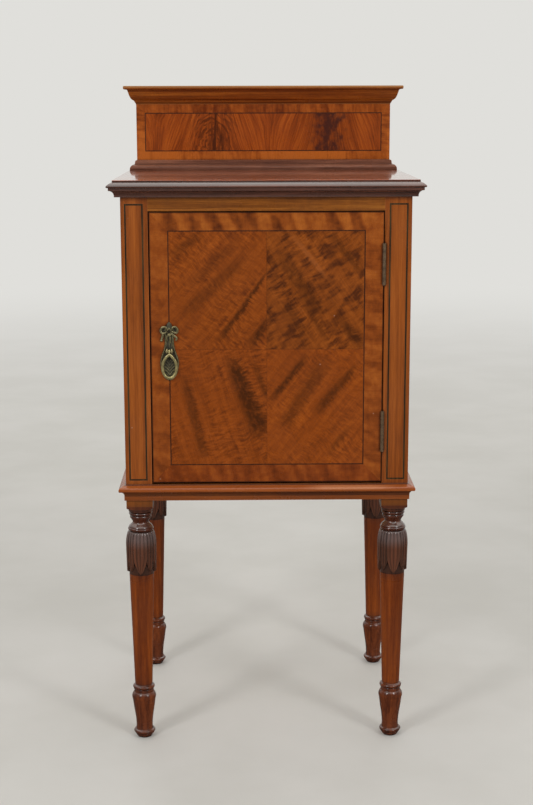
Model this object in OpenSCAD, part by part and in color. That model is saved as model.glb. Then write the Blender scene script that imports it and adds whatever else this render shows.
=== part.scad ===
// Bedside pot cupboard: a square-post carcass on four turned and carved legs, a moulded top with a
// raised back, and one veneered door on butt hinges with a drop handle and a sprung ball catch.
// Millimetres, +Z up, the front faces -Y, and the origin is on the floor under the middle.

/* [Carcass] */
// Width across the corner posts
carcass_w = 360; // [330:1:400]
// Depth from the front of the posts to the back
carcass_d = 297; // [260:1:340]
// Height from the underside of the base moulding to the underside of the top board
carcass_h = 385; // [350:1:430]
// Clear height under the base moulding
base_h = 327.5; // [290:0.5:370]
// Side of the square corner posts
post_w = 33.5; // [31:0.5:36]
// Thickness of the side panels
side_t = 16; // [14:0.5:18]
// Thickness of the back panel
back_t = 6; // [4:0.5:8]
// Height of the top rails
rail_h = 17.5; // [16:0.5:22]
// Height of the bottom rails and of the base moulding
base_rail_h = 21; // [19:0.5:24]
// Thickness of the rails, front to back
rail_d = 22; // [20:1:26]
// Thickness of the floor board
floor_t = 9; // [7:0.5:11]
// Thickness of the shelf
shelf_t = 9; // [7:0.5:12]
// How far the shelf's upper face lies above the middle of the inside
shelf_lift = 0; // [-40:1:40]
// Clearance around tongues, tenons and notched boards
wood_fit = 0.1; // [0.05:0.05:0.2]

/* [Top board] */
// Thickness of the top board
top_t = 20.7; // [19:0.1:24]
// How far its moulded edge stands out beyond the carcass
top_over = 16; // [14:0.5:18]

/* [Raised back] */
// Thickness of the raised back
upstand_t = 17.5; // [16:0.5:20]
// How far its ends lie inside the carcass sides
upstand_inset = 2.3; // [1:0.1:6]
// Height from the top board to the cornice
upstand_h = 90.8; // [75:0.1:110]
// Height of the cornice
cornice_h = 25; // [22:0.5:28]
// How far the cornice stands out
cornice_over = 16.7; // [14:0.1:17]
// Height of the moulding at the foot of the raised back
upstand_mould_h = 14.2; // [12:0.1:16]
// How far that moulding stands out
upstand_mould_over = 9.9; // [8:0.1:11]
// Width of the crossbanding that shows around the raised back's panel
upstand_band_w = 11.6; // [9:0.1:14]

/* [Base moulding] */
// How far the base moulding stands out
base_mould_over = 9.1; // [7.5:0.1:10]

/* [Legs] */
// Depth of the square block that shows below the base moulding
block_drop = 13.5; // [12:0.5:18]
// Radius of the round under the square block
pommel_r = 15.4; // [14:0.1:16]
// Height of the round under the square block
pommel_h = 4.6; // [4:0.1:8]
// Height of the bead under that round
pommel_bead_h = 4.6; // [3.5:0.1:6]
// Radius of the neck
neck_r = 10.4; // [9.5:0.1:11.5]
// Height from the bead to the neck's narrowest place
neck_h = 8.9; // [8:0.1:11]
// Height of the flare under the neck
flare_h = 7.1; // [6:0.1:9]
// Radius of the cap ring over the collar
cap_ring_r = 16.5; // [15.5:0.1:17.5]
// Height of the cap ring
cap_ring_h = 4.2; // [3.5:0.1:6]
// Largest radius of the carved collar
collar_r = 19.8; // [18.5:0.1:21]
// Height of the carved collar
collar_h = 56.2; // [48:0.1:62]
// Depth of the collar's widest place below its top
collar_swell = 20; // [14:1:26]
// Number of leaves on each collar
leaf_count = 8; // [6:1:10]
// Height of the leaves' pointed tips
leaf_tip_h = 11; // [8:0.5:14]
// Radius of the shaft under the collar
shaft_top_r = 15.9; // [15:0.1:16.5]
// Radius of the shaft above the ankle ring
shaft_foot_r = 11.5; // [11:0.1:12.5]
// Radius of the ankle ring
ankle_ring_r = 14.3; // [13.5:0.1:15]
// Height of the ankle ring itself
ankle_ring_h = 5; // [4:0.1:6]
// Height of the ankle ring above the floor
ankle_ring_z = 67.5; // [65.5:0.1:74]
// Largest radius of the foot bulb
bulb_r = 15.7; // [15:0.1:17.5]
// Height of the bulb's widest place above the floor
bulb_z = 56.4; // [52:0.1:58]
// Radius of the ankle under the bulb
ankle_r = 10.6; // [10:0.1:12]
// Height of the ankle's narrowest place above the floor
ankle_z = 15.5; // [13:0.1:20]
// Radius of the foot ring
foot_r = 14; // [13:0.1:15]
// Height of the foot ring above the floor
foot_ring_z = 5.8; // [4:0.1:6.5]
// Height of the foot ring itself
foot_ring_h = 4.8; // [4:0.1:6]
// Radius of the face that stands on the floor
pad_r = 9; // [8:0.1:11]

/* [Door] */
// Thickness of the door with its veneer
door_t = 18; // [16:0.5:20]
// Gap at the door's handle side and top
door_gap = 1.2; // [1.1:0.05:1.6]
// Gap at the door's hinge side
hinge_gap = 1; // [0.8:0.05:1.4]
// Gap under the door
door_foot_gap = 2.2; // [1.5:0.1:4]
// Thickness of the veneers
veneer_t = 0.9; // [0.6:0.1:1.2]
// Width of the door's crossbanding
band_w = 22.6; // [18:0.1:28]
// Width of the dark line inside the crossbanding
line_w = 1.4; // [1:0.1:2]

/* [Stringing on the posts] */
// Distance of the line from the post's outer edge
stile_line_inset = 4.6; // [3:0.1:6]
// Width of the rectangle that the lines make
stile_line_span = 23.2; // [20:0.1:25]
// Width of each line
stile_line_w = 2; // [1.2:0.1:2.2]
// Distance of the rectangle from the top board
stile_line_head = 8.5; // [6:0.5:14]
// Distance of the rectangle from the base moulding
stile_line_foot = 5; // [3:0.5:12]

/* [Hinges] */
// Length of each butt hinge
hinge_l = 52; // [44:1:60]
// Depth of each leaf, from the pin to its back edge
hinge_leaf_d = 17; // [13:0.5:17]
// Thickness of each leaf
hinge_leaf_t = 1.2; // [1:0.1:1.4]
// Radius of the knuckle
knuckle_r = 2.2; // [2:0.1:2.5]
// Radius of the hinge pin
hinge_pin_r = 1; // [0.8:0.05:1.1]
// Distance of the upper hinge from the door's top
hinge_top_inset = 39; // [25:1:70]
// Distance of the lower hinge from the door's foot
hinge_foot_inset = 39.8; // [25:0.1:70]

/* [Handle] */
// How far the handle's pivot lies above the door's middle
pivot_lift = -1.65; // [-40:0.05:30]
// Widest part of the backplate
plate_w = 23.4; // [22:0.1:26]
// Thickness of the backplate
plate_t = 1.6; // [1.2:0.1:2]
// Distance of the pivot from the door's face
pivot_out = 4.4; // [4.2:0.1:5]
// Width of the drop's oval ring
drop_w = 21.4; // [20:0.1:22]
// Height of the drop's oval ring
drop_h = 32; // [28:0.5:34]
// Thickness of the ring's bar
drop_bar = 3.8; // [3.2:0.1:4]
// Radius of the handle's pivot pin
handle_pin_r = 0.8; // [0.7:0.05:0.9]

/* [Ball catch] */
// How far the catch lies above the door's middle
catch_lift = 0; // [-60:1:120]
// Radius of the ball
ball_r = 3; // [2.8:0.05:3.2]
// How far the ball stands out of the door's edge
ball_out = 0.9; // [0.7:0.05:1]
// Radius of the barrel
barrel_r = 4.2; // [4:0.1:4.5]
// Length of the barrel
barrel_l = 16; // [14:0.5:20]

/* [Hidden] */
$fn = 48;

// Colours of the woods and metals
mahogany = [0.50, 0.24, 0.10];
dark_mahogany = [0.30, 0.16, 0.12];
flame = [0.54, 0.25, 0.09];
banding = [0.63, 0.34, 0.13];
line_colour = [0.14, 0.08, 0.06];
pine = [0.72, 0.55, 0.35];
brass = [0.62, 0.55, 0.34];
steel = [0.55, 0.55, 0.56];

// Main planes of the carcass
half_w = carcass_w / 2;
collar_over = max(0, collar_r - post_w / 2);
y_front = top_over - (top_over + carcass_d + collar_over) / 2;
y_back = y_front + carcass_d;
z_carcass = base_h + carcass_h;
z_floor = base_h + base_rail_h;
z_rail = z_carcass - rail_h;
z_top = z_carcass + top_t;
z_cornice = z_top + upstand_h;
post_in = half_w - post_w;
side_in = half_w - side_t;
y_posts_front = y_front + post_w;
y_posts_rear = y_back - post_w;
y_rail_front = y_front + rail_d;
y_back_panel = y_back - back_t;
y_rail_rear = y_back_panel - rail_d;
upstand_half = half_w - upstand_inset;
y_upstand = y_back - upstand_t;
panel_z0 = z_top + upstand_mould_h;
panel_half = upstand_half - upstand_band_w;
big = 40;
eps = 0.01;

// Members of the legs, from the square block down
quirk = 0.8;
z_block = base_h - block_drop;
z_pommel = z_block - pommel_h;
z_bead = z_pommel - pommel_bead_h - quirk / 4;
z_neck = z_bead - neck_h;
z_cap_ring = z_neck - flare_h;
z_collar = z_cap_ring - cap_ring_h - quirk;
z_ankle_ring = ankle_ring_z + ankle_ring_h;
round_in_h = 8;
round_in_w = 10;
neck_splay = 3.4;
neck_slope_h = 5.7;
flare_w = 5.1;
bulb_round = 9;
collar_core_r = cap_ring_r - 3;
collar_head_r = cap_ring_r - 1.5 * quirk;
collar_tip_r = collar_r - 0.9;
leaf_groove = 1.8;

// Joints inside the carcass
tongue_t = side_t / 3;
tongue_l = 8;
tenon_l = 12;
tenon_t = 8;
tenon_shoulder = 3;
rebate_w = 8;
bearer_w = 12;
shelf_front_setback = 2;
shelf_z = (z_floor + z_rail) / 2 + shelf_lift;
stop_size = [30, 8, 10];
stop_x = -post_in + 11.5;
stop_gap = 0.2;

// Screws: shank radius, head radius; a head's cone is as deep as it widens
small_shank_r = 1.2;
small_head_r = 2.4;
large_shank_r = 2;
large_head_r = 3.8;
hinge_screw_l = 12;
strike_screw_l = 9;
back_screw_l = 16;
top_screw_bite = 13;
top_screw_l = rail_h + top_screw_bite;
upstand_screw_bite = 24;
upstand_screw_l = top_t + upstand_screw_bite;
hole_fit = 0.05;
slot_w = 0.6;
slot_depth = 0.5;

// How far the outer screws lie inside the posts
back_screw_inset = 36;
top_screw_inset = 44;
upstand_screw_inset = 22;

// Door
door_x0 = -post_in + door_gap;
door_x1 = post_in - hinge_gap;
door_z0 = z_floor + door_foot_gap;
door_z1 = z_rail - door_gap;
door_cx = (door_x0 + door_x1) / 2;
door_cz = (door_z0 + door_z1) / 2;
y_core = y_front + veneer_t;
y_door_back = y_front + door_t;

// Hinges: the pin stands in front of the door's face, over the middle of the hinge gap
knuckle_count = 5;
knuckle_gap = 0.3;
knuckle_proud = 0.4;
pin_x = post_in - hinge_gap / 2;
pin_y = y_front - knuckle_r - knuckle_proud;
running_fit = 0.05;
pin_fit = 0.02;
hinge_z = [door_z0 + hinge_foot_inset, door_z1 - hinge_top_inset - hinge_l];
hinge_screw_end = 7.3;
hinge_screw_back = 6.8;
hinge_screw_pitch = hinge_l / 2 - hinge_screw_end;
hinge_screw_y = pin_y + hinge_leaf_d - hinge_screw_back;

// Handle, hung on the dark line at the door's left
handle_x = door_x0 + band_w + line_w / 2;
pivot_z = door_cz + pivot_lift;
ring_top = -4.6;
ring_forward = 0.3;
ring_edge = 0.7;
plate_margin = 0.6;
plate_foot = ring_top - drop_h - plate_margin;
plate_wide = -15.5;
neck_foot = 10.5;
neck_head = 26;
neck_half = 5.75;
bow_z = 25.5;
bow_loop_x = 6.7;
bow_loop_r = 3.3;
bow_wire_r = 1.25;
knot_r = 2.7;
bolt_r = 1.6;
bolt_head_r = 2.1;
bolt_head_h = 1.4;
bolt_out = knot_r + plate_t;
bolt_past = 5.5;
washer_r = 5;
washer_t = 0.8;
nut_r = 4.2;
nut_h = 3.2;
eye_half = 2.7;
ear_gap = 0.2;
ear_t = 1.6;
ear_r = 2;
eye_r = 1.9;
pin_past = 0.3;
ear_x = eye_half + ear_gap + ear_t / 2;
tail_outline = [[3, -1], [6, -2.5], [11.4, -12], [9.2, -13.4], [5, -6]];
tail_y = [0.2, 2.2];
bud_outline = [[-2.6, -0.5], [2.6, -0.5], [2.8, 6], [0, 10.5], [-2.8, 6]];
bud_out = 3;
stem_outline = [[-1.6, 0], [1.6, 0], [3.2, ring_top - 2], [-3.2, ring_top - 2]];

// Ball catch, in the middle of the door's thickness
catch_z = door_cz + catch_lift;
catch_y = y_front + door_t / 2;
ball_fit = 0.06;
lip_t = 0.5;
lip_r = sqrt(ball_r * ball_r - pow(ball_r - ball_out - lip_t, 2)) + ball_fit;
flange_r = 6;
flange_t = 0.6;
barrel_end_t = 1;
ball_x = door_x0 - ball_out + ball_r;
spring_r = 2.6;
spring_bore_r = 1.9;
spring_gap = 0.4;
strike_size = [0.8, 10, 28];
strike_hole_r = 2.2;
strike_pocket_r = 2.5;
strike_hole_depth = 3;
strike_screw_pitch = 10;

// ---- Outlines -------------------------------------------------------------------------------

// Points on an arc about c, from angle a0 to angle a1
function arc(c, r, a0, a1, n = 8) =
    [for (i = [0:n]) let (a = a0 + (a1 - a0) * i / n) c + r * [cos(a), sin(a)]];

// Points of a double curve from p to q, level at both ends
function ogee(p, q, n = 8) =
    [for (i = [0:n]) let (t = i / n, rise = t * t * (3 - 2 * t))
        [p[0] + (q[0] - p[0]) * t, p[1] + (q[1] - p[1]) * rise]];

// Half-round bead of a turning, from height z1 down to z0, out to radius r
function bead(r, z1, z0, n = 6) =
    let (h = (z1 - z0) / 2) arc([r - h, z0 + h], h, 90, -90, n);

function mirrored(points) = [for (i = [len(points) - 1:-1:0]) [-points[i][0], points[i][1]]];

// Edge of the top board, outward from the carcass face and up from its underside
function top_edge(over, t) = concat(
    [[over - 9.2, 0]],
    arc([over - 2.6, t - 19.3], 6.6, 180, 90, 6),
    [[over - 2.6, t - 9.4]],
    arc([over - 1.3, t - 7.7], 1.3, -60, 40, 4),
    arc([over - 15.5, t - 22.7], 22, 47, 68, 5),
    [[over - 7.2, t - 2.2], [over - 7.2, t]]
);

// Section of the base moulding: sloped top, rounded nose, cove and fascia
function base_section(over, h) = concat(
    [[0, 0], [2.2, 0], [2.2, h - 14.8]],
    arc([over - 0.9, h - 14.8], over - 3.1, 180, 96, 6),
    arc([over - 3.6, h - 6.4], 3.6, -42, 80, 7),
    [[0, h]]
);

// Section of the cornice: fillet over a double curve, with a small splay at the foot
function cornice_section(over, h) = concat(
    [[0, 0], [3.1, 5.2], [over - 13.4, h - 19.8], [over - 10.2, h - 17.5]],
    [[over - 8.1, h - 13.7], [over - 6.7, h - 9.8], [over - 5.3, h - 5.8], [over - 3.8, h - 4.9]],
    [[over - 1.2, h - 4.7], [over - 0.3, h - 4.1], [over, h - 2.8], [over, h - 1.2]],
    [[over - 0.6, h], [0, h]]
);

// Section of the moulding at the foot of the raised back
function upstand_mould_section(over, h) = concat(
    [[0, 0], [over, 0]],
    arc([over - 6.5, 1.4], 6.5, 0, 86, 7),
    [[over - 6.6, 8], [over - 7, h - 3], [over - 7.5, h - 1], [0, h]]
);

// ---- Mitred runs of moulding ----------------------------------------------------------------

// Moulding along a front: its section is set against the plane y, between corners at +-half
module run_front(half, y, z, over) {
    intersection() {
        translate([half + over, y, z]) rotate([0, 0, -90]) rotate([90, 0, 0])
            linear_extrude(2 * (half + over)) children();
        translate([0, 0, z - big]) linear_extrude(2 * big + z)
            polygon([[-half, y], [half, y], [half + big, y - big], [-half - big, y - big]]);
    }
}

// Moulding along the right side, from its mitre at the front corner to the back
module run_right(half, y, y_end, z, over) {
    intersection() {
        translate([half, y_end, z]) rotate([90, 0, 0])
            linear_extrude(y_end - y + over) children();
        translate([0, 0, z - big]) linear_extrude(2 * big + z)
            polygon([[half, y], [half + big, y - big], [half + big, y_end], [half, y_end]]);
    }
}

module run_left(half, y, y_end, z, over) {
    mirror([1, 0, 0]) run_right(half, y, y_end, z, over) children();
}

// ---- Screws ---------------------------------------------------------------------------------

// Countersunk screw: its head is flush with z = 0 and it points down; grow opens it into a hole
module screw_form(length, shank_r, head_r, grow = 0) {
    head_h = head_r - shank_r;
    translate([0, 0, -head_h]) cylinder(h = head_h, r1 = shank_r + grow, r2 = head_r + grow);
    translate([0, 0, -length - grow]) cylinder(h = length + grow - head_h, r = shank_r + grow);
}

module screw(length, shank_r, head_r) {
    difference() {
        screw_form(length, shank_r, head_r);
        translate([-head_r, -slot_w / 2, -slot_depth]) cube([2 * head_r, slot_w, 2 * slot_depth]);
    }
}

module hinge_screw_places(x, side) {
    for (z0 = hinge_z, i = [-1:1])
        translate([x, hinge_screw_y, z0 + hinge_l / 2 + i * hinge_screw_pitch])
            rotate([0, -90 * side, 0]) children();
}

module strike_screw_places() {
    for (i = [-1, 1])
        translate([-post_in, catch_y, catch_z + i * strike_screw_pitch]) rotate([0, 90, 0]) children();
}

module back_screw_places() {
    for (x = [-1:1], z = [base_h + base_rail_h / 2, z_carcass - rail_h / 2])
        translate([x * (post_in - back_screw_inset), y_back, z]) rotate([-90, 0, 0]) children();
    for (x = [-1, 1])
        translate([x * (post_in + rebate_w / 2), y_back, (base_h + z_carcass) / 2])
            rotate([-90, 0, 0]) children();
}

module top_screw_places() {
    for (x = [-1, 1], y = [y_front + rail_d / 2, y_rail_rear + rail_d / 2])
        translate([x * (post_in - top_screw_inset), y, z_rail]) rotate([180, 0, 0]) children();
}

module upstand_screw_places() {
    for (x = [-1:1])
        translate([x * (post_in - upstand_screw_inset), y_back - upstand_t / 2, z_carcass])
            rotate([180, 0, 0]) children();
}

module small_holes(length) {
    screw_form(length, small_shank_r, small_head_r, hole_fit);
}

module large_holes(length) {
    screw_form(length, large_shank_r, large_head_r, hole_fit);
}

// ---- Legs and posts -------------------------------------------------------------------------

// Turned outline from the square block to the floor, on the leg's own axis
function leg_outline() = concat(
    [[0, z_block + round_in_h], [pommel_r, z_block + round_in_h]],
    [[pommel_r, z_pommel + quirk / 2], [pommel_r - 2 * quirk, z_pommel]],
    bead(pommel_r - quirk / 2, z_pommel - quirk / 4, z_bead),
    [for (z = [z_bead - 1.5 * quirk, z_neck + neck_slope_h]) [neck_r + neck_splay, z]],
    [for (p = ogee([0, 0], [flare_h, flare_w], 6)) [neck_r + p[1], z_neck - p[0]]],
    bead(cap_ring_r, z_cap_ring, z_cap_ring - cap_ring_h),
    [[collar_core_r, z_collar], [collar_core_r, z_collar - quirk], [shaft_top_r, z_collar - collar_h]],
    [[shaft_foot_r, z_ankle_ring + 4 * quirk], [shaft_foot_r - quirk / 2, z_ankle_ring + quirk]],
    bead(ankle_ring_r, z_ankle_ring, ankle_ring_z),
    [[ankle_ring_r - 1.5 * quirk, ankle_ring_z - quirk]],
    arc([bulb_r - bulb_round, bulb_z], bulb_round, 50, -22, 7),
    [for (t = [0.3, 0.6, 1]) [stem_r(t), bulb_z - bulb_round - (bulb_z - bulb_round - ankle_z) * t]],
    [[ankle_r + quirk / 2, foot_ring_z + foot_ring_h + quirk]],
    bead(foot_r, foot_ring_z + foot_ring_h, foot_ring_z),
    [[foot_r - 2 * quirk, foot_ring_z - quirk], [pad_r, 0], [0, 0]]
);

// Radius of the stem from the bulb, t = 0, to the ankle, t = 1
function stem_r(t) = ankle_r + (bulb_r - ankle_r) * 0.75 * (1 - t) * (1 - t) + quirk * (1 - t);

// Ring that the leaves are carved from, hugging the shaft
function collar_outline(z_tips) = concat(
    [[collar_core_r, z_collar]],
    [for (i = [0:6]) let (a = 15 * i)
        [collar_head_r + (collar_r - collar_head_r) * sin(a), z_collar - collar_swell * (1 - cos(a))]],
    [[collar_tip_r, z_tips], [collar_core_r, z_tips]]
);

module carved_collar() {
    z_tips = z_collar - collar_h;
    pitch = 360 / leaf_count;
    tip_half = collar_r * tan(pitch / 2);
    groove_h = collar_h - 2 * (leaf_tip_h + quirk);
    difference() {
        rotate_extrude() polygon(collar_outline(z_tips));
        for (i = [0:leaf_count - 1]) rotate([0, 0, (i + 0.5) * pitch]) {
            translate([collar_core_r - quirk, 0, 0]) rotate([90, 0, 90]) linear_extrude(collar_r)
                polygon([[-tip_half, z_tips - eps], [tip_half, z_tips - eps], [0, z_tips + leaf_tip_h]]);
            for (a = [0, pitch / 2]) rotate([0, 0, a])
                translate([collar_r + eps, 0, z_tips + leaf_tip_h + quirk]) rotate([0, 0, 45])
                    translate([-leaf_groove / 2, -leaf_groove / 2, 0])
                        cube([leaf_groove, leaf_groove, groove_h]);
        }
    }
}

// The turning, its collar, and the square post, whose lower corners are turned to a hollow round
module turned_post() {
    rotate_extrude() polygon(leg_outline());
    carved_collar();
    intersection() {
        translate([-post_w / 2, -post_w / 2, z_block]) cube([post_w, post_w, z_carcass - z_block]);
        rotate_extrude() polygon(concat(
            [[0, z_block]],
            [for (i = [0:5]) let (a = 15 * i)
                [pommel_r + quirk + round_in_w * sin(a), z_block + round_in_h * (1 - cos(a))]],
            [[post_w, z_block + round_in_h], [post_w, z_carcass], [0, z_carcass]]
        ));
    }
}

// Sides of a rectangle of lines, outer size w by h, drawn with its corner at the origin
module line_frame(w, h, line) {
    difference() {
        square([w, h]);
        translate([line, line]) square([w - 2 * line, h - 2 * line]);
    }
}

// The lines let into the front post, each mitred at the corners into one frame
module stile_line_form(side) {
    z0 = z_floor + stile_line_foot;
    h = z_carcass - stile_line_head - z0;
    x0 = side < 0 ? -half_w + stile_line_inset : half_w - stile_line_inset - stile_line_span;
    translate([x0, y_front + veneer_t, z0]) rotate([90, 0, 0])
        linear_extrude(veneer_t) line_frame(stile_line_span, h, stile_line_w);
}

module post_at(side_x, side_y) {
    y = side_y < 0 ? y_front + post_w / 2 : y_back - post_w / 2;
    translate([side_x * (half_w - post_w / 2), y, 0]) turned_post();
}

// Grooves for the side panel's tongue, the rails' tenons, and the lines
module front_post(side) {
    difference() {
        post_at(side, -1);
        side_panel_tongues(side, wood_fit);
        rail_form(y_front, z_rail, rail_h, wood_fit);
        rail_form(y_front, base_h, base_rail_h, wood_fit);
        stile_line_form(side);
        if (side > 0) {
            hinge_recess(post_in, post_in + hinge_leaf_t);
            hinge_screw_places(post_in, 1) small_holes(hinge_screw_l);
        } else {
            strike_recess();
            strike_screw_places() small_holes(strike_screw_l);
        }
    }
}

module rear_post(side) {
    difference() {
        post_at(side, 1);
        side_panel_tongues(side, wood_fit);
        rail_form(y_rail_rear, z_rail, rail_h, wood_fit);
        rail_form(y_rail_rear, base_h, base_rail_h, wood_fit);
        back_panel_form(wood_fit);
        back_screw_places() small_holes(back_screw_l);
    }
}

module leg_front_left() { color(mahogany) front_post(-1); }
module leg_front_right() { color(mahogany) front_post(1); }
module leg_rear_left() { color(mahogany) rear_post(-1); }
module leg_rear_right() { color(mahogany) rear_post(1); }

// ---- Carcass --------------------------------------------------------------------------------

// Tongues on the front and rear edges of a side panel; grow opens them into grooves
module side_panel_tongues(side, grow = 0) {
    x = side * (half_w - side_t / 2);
    translate([x - tongue_t / 2 - grow, y_posts_front - tongue_l - grow, base_h])
        cube([tongue_t + 2 * grow, y_posts_rear - y_posts_front + 2 * (tongue_l + grow), carcass_h]);
}

module side_panel(side) {
    color(mahogany) {
        translate([side > 0 ? side_in : -half_w, y_posts_front, base_h])
            cube([side_t, y_posts_rear - y_posts_front, carcass_h]);
        side_panel_tongues(side);
    }
}

module side_panel_left() { side_panel(-1); }
module side_panel_right() { side_panel(1); }

// A rail between two posts with a tenon at each end; grow opens the tenons into mortises
module rail_form(y, z, h, grow = 0) {
    translate([-post_in, y, z]) cube([2 * post_in, rail_d, h]);
    translate([-post_in - tenon_l - grow, y + (rail_d - tenon_t) / 2 - grow, z + tenon_shoulder - grow])
        cube([2 * (post_in + tenon_l + grow), tenon_t + 2 * grow, h - 2 * tenon_shoulder + 2 * grow]);
}

module top_rail_front() {
    color(mahogany) difference() {
        rail_form(y_front, z_rail, rail_h);
        top_screw_places() large_holes(top_screw_l);
    }
}

module top_rail_rear() {
    color(pine) difference() {
        rail_form(y_rail_rear, z_rail, rail_h);
        top_screw_places() large_holes(top_screw_l);
        back_screw_places() small_holes(back_screw_l);
    }
}

module bottom_rail_front() { color(pine) rail_form(y_front, base_h, base_rail_h); }

module bottom_rail_rear() {
    color(pine) difference() {
        rail_form(y_rail_rear, base_h, base_rail_h);
        back_screw_places() small_holes(back_screw_l);
    }
}

// Corners of a board cut away around the posts at one end of the carcass
module post_notches(y0, y1, z, t) {
    for (side = [-1, 1])
        translate([side > 0 ? post_in - wood_fit : -half_w, y0, z - eps])
            cube([post_w + wood_fit, y1 - y0, t + 2 * eps]);
}

module floor_board() {
    color(pine) difference() {
        translate([-side_in + wood_fit, y_rail_front, z_floor - floor_t])
            cube([2 * (side_in - wood_fit), y_rail_rear - y_rail_front, floor_t]);
        post_notches(y_front, y_posts_front + wood_fit, z_floor - floor_t, floor_t);
        post_notches(y_posts_rear - wood_fit, y_back, z_floor - floor_t, floor_t);
    }
}

module floor_bearers() {
    color(pine) for (side = [-1, 1])
        translate([side > 0 ? side_in - bearer_w : -side_in, y_posts_front, base_h])
            cube([bearer_w, y_posts_rear - y_posts_front, base_rail_h - floor_t]);
}

module back_panel_form(grow = 0) {
    translate([-post_in - rebate_w - grow, y_back_panel, base_h])
        cube([2 * (post_in + rebate_w + grow), back_t + eps, carcass_h]);
}

module back_panel() {
    color(pine) difference() {
        translate([-post_in - rebate_w, y_back_panel, base_h])
            cube([2 * (post_in + rebate_w), back_t, carcass_h]);
        back_screw_places() small_holes(back_screw_l);
    }
}

module back_screws() {
    color(steel) back_screw_places() screw(back_screw_l, small_shank_r, small_head_r);
}

module shelf() {
    y0 = y_posts_front + shelf_front_setback;
    color(pine) difference() {
        translate([-side_in + wood_fit, y0, shelf_z - shelf_t])
            cube([2 * (side_in - wood_fit), y_back_panel - wood_fit - y0, shelf_t]);
        post_notches(y_posts_rear - wood_fit, y_back, shelf_z - shelf_t, shelf_t);
    }
}

module shelf_bearers() {
    color(pine) for (side = [-1, 1])
        translate([side > 0 ? side_in - bearer_w : -side_in, y_posts_front, shelf_z - shelf_t - bearer_w])
            cube([bearer_w, y_posts_rear - y_posts_front, bearer_w]);
}

// Two glued blocks that the closed door meets, under the top rail and on the bottom rail
module door_stops() {
    color(pine) for (z = [z_floor, z_rail - stop_size[2]])
        translate([stop_x, y_door_back + stop_gap, z]) cube(stop_size);
}

// ---- Top board and base moulding ------------------------------------------------------------

module top_board() {
    edge = top_edge(top_over, top_t);
    outward = [for (p = edge) [half_w + p[0], p[1]]];
    forward = [for (p = edge) [y_front - p[0], p[1]]];
    color(mahogany) difference() {
        intersection() {
            translate([0, y_back, z_carcass]) rotate([90, 0, 0])
                linear_extrude(carcass_d + top_over) polygon(concat(outward, mirrored(outward)));
            translate([-half_w - top_over, 0, z_carcass]) rotate([90, 0, 90])
                linear_extrude(carcass_w + 2 * top_over)
                    polygon(concat([[y_back, 0]], forward, [[y_back, top_t]]));
        }
        top_screw_places() large_holes(top_screw_l);
        upstand_screw_places() large_holes(upstand_screw_l);
    }
}

module top_screws() {
    color(steel) top_screw_places() screw(top_screw_l, large_shank_r, large_head_r);
}

module base_mould_front() {
    color(mahogany) run_front(half_w, y_front, base_h, base_mould_over)
        polygon(base_section(base_mould_over, base_rail_h));
}

module base_mould_left() {
    color(mahogany) run_left(half_w, y_front, y_back, base_h, base_mould_over)
        polygon(base_section(base_mould_over, base_rail_h));
}

module base_mould_right() {
    color(mahogany) run_right(half_w, y_front, y_back, base_h, base_mould_over)
        polygon(base_section(base_mould_over, base_rail_h));
}

// ---- Raised back ----------------------------------------------------------------------------

// Face of the raised back, drawn flat: x across, y up from the top of its foot moulding
module on_upstand_face() {
    translate([0, y_upstand + veneer_t, panel_z0]) rotate([90, 0, 0])
        linear_extrude(veneer_t) children();
}

// Four mitred strips between a rectangle and a smaller one inside it
module mitred_strips(x0, x1, z0, z1, w) {
    strips = [
        [[x0, z0], [x1, z0], [x1 - w, z0 + w], [x0 + w, z0 + w]],
        [[x1, z0], [x1, z1], [x1 - w, z1 - w], [x1 - w, z0 + w]],
        [[x1, z1], [x0, z1], [x0 + w, z1 - w], [x1 - w, z1 - w]],
        [[x0, z1], [x0, z0], [x0 + w, z0 + w], [x0 + w, z1 - w]]
    ];
    for (strip = strips) linear_extrude(veneer_t) polygon(strip);
}

module upstand_board() {
    color(mahogany) difference() {
        translate([-upstand_half, y_upstand, z_top])
            cube([2 * upstand_half, upstand_t, upstand_h + cornice_h]);
        translate([-upstand_half - 1, y_upstand - 1, panel_z0])
            cube([2 * upstand_half + 2, veneer_t + 1, upstand_h - upstand_mould_h]);
        upstand_screw_places() large_holes(upstand_screw_l);
    }
}

module upstand_flame_veneer() {
    inner = upstand_band_w + line_w;
    color(flame) on_upstand_face()
        translate([-upstand_half + inner, inner])
            square([2 * (upstand_half - inner), upstand_h - upstand_mould_h - 2 * inner]);
}

module upstand_crossbanding() {
    color(banding) translate([0, y_upstand + veneer_t, panel_z0]) rotate([90, 0, 0])
        mitred_strips(-upstand_half, upstand_half, 0, upstand_h - upstand_mould_h, upstand_band_w);
}

module upstand_stringing() {
    color(line_colour) on_upstand_face() translate([-panel_half, upstand_band_w])
        line_frame(2 * panel_half, upstand_h - upstand_mould_h - 2 * upstand_band_w, line_w);
}

module upstand_screws() {
    color(steel) upstand_screw_places() screw(upstand_screw_l, large_shank_r, large_head_r);
}

module cornice_front() {
    color(mahogany) run_front(upstand_half, y_upstand, z_cornice, cornice_over)
        polygon(cornice_section(cornice_over, cornice_h));
}

module cornice_left() {
    color(mahogany) run_left(upstand_half, y_upstand, y_back, z_cornice, cornice_over)
        polygon(cornice_section(cornice_over, cornice_h));
}

module cornice_right() {
    color(mahogany) run_right(upstand_half, y_upstand, y_back, z_cornice, cornice_over)
        polygon(cornice_section(cornice_over, cornice_h));
}

module upstand_mould_front() {
    color(dark_mahogany) run_front(upstand_half, y_upstand, z_top, upstand_mould_over)
        polygon(upstand_mould_section(upstand_mould_over, upstand_mould_h));
}

module upstand_mould_left() {
    color(dark_mahogany) run_left(upstand_half, y_upstand, y_back, z_top, upstand_mould_over)
        polygon(upstand_mould_section(upstand_mould_over, upstand_mould_h));
}

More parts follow.
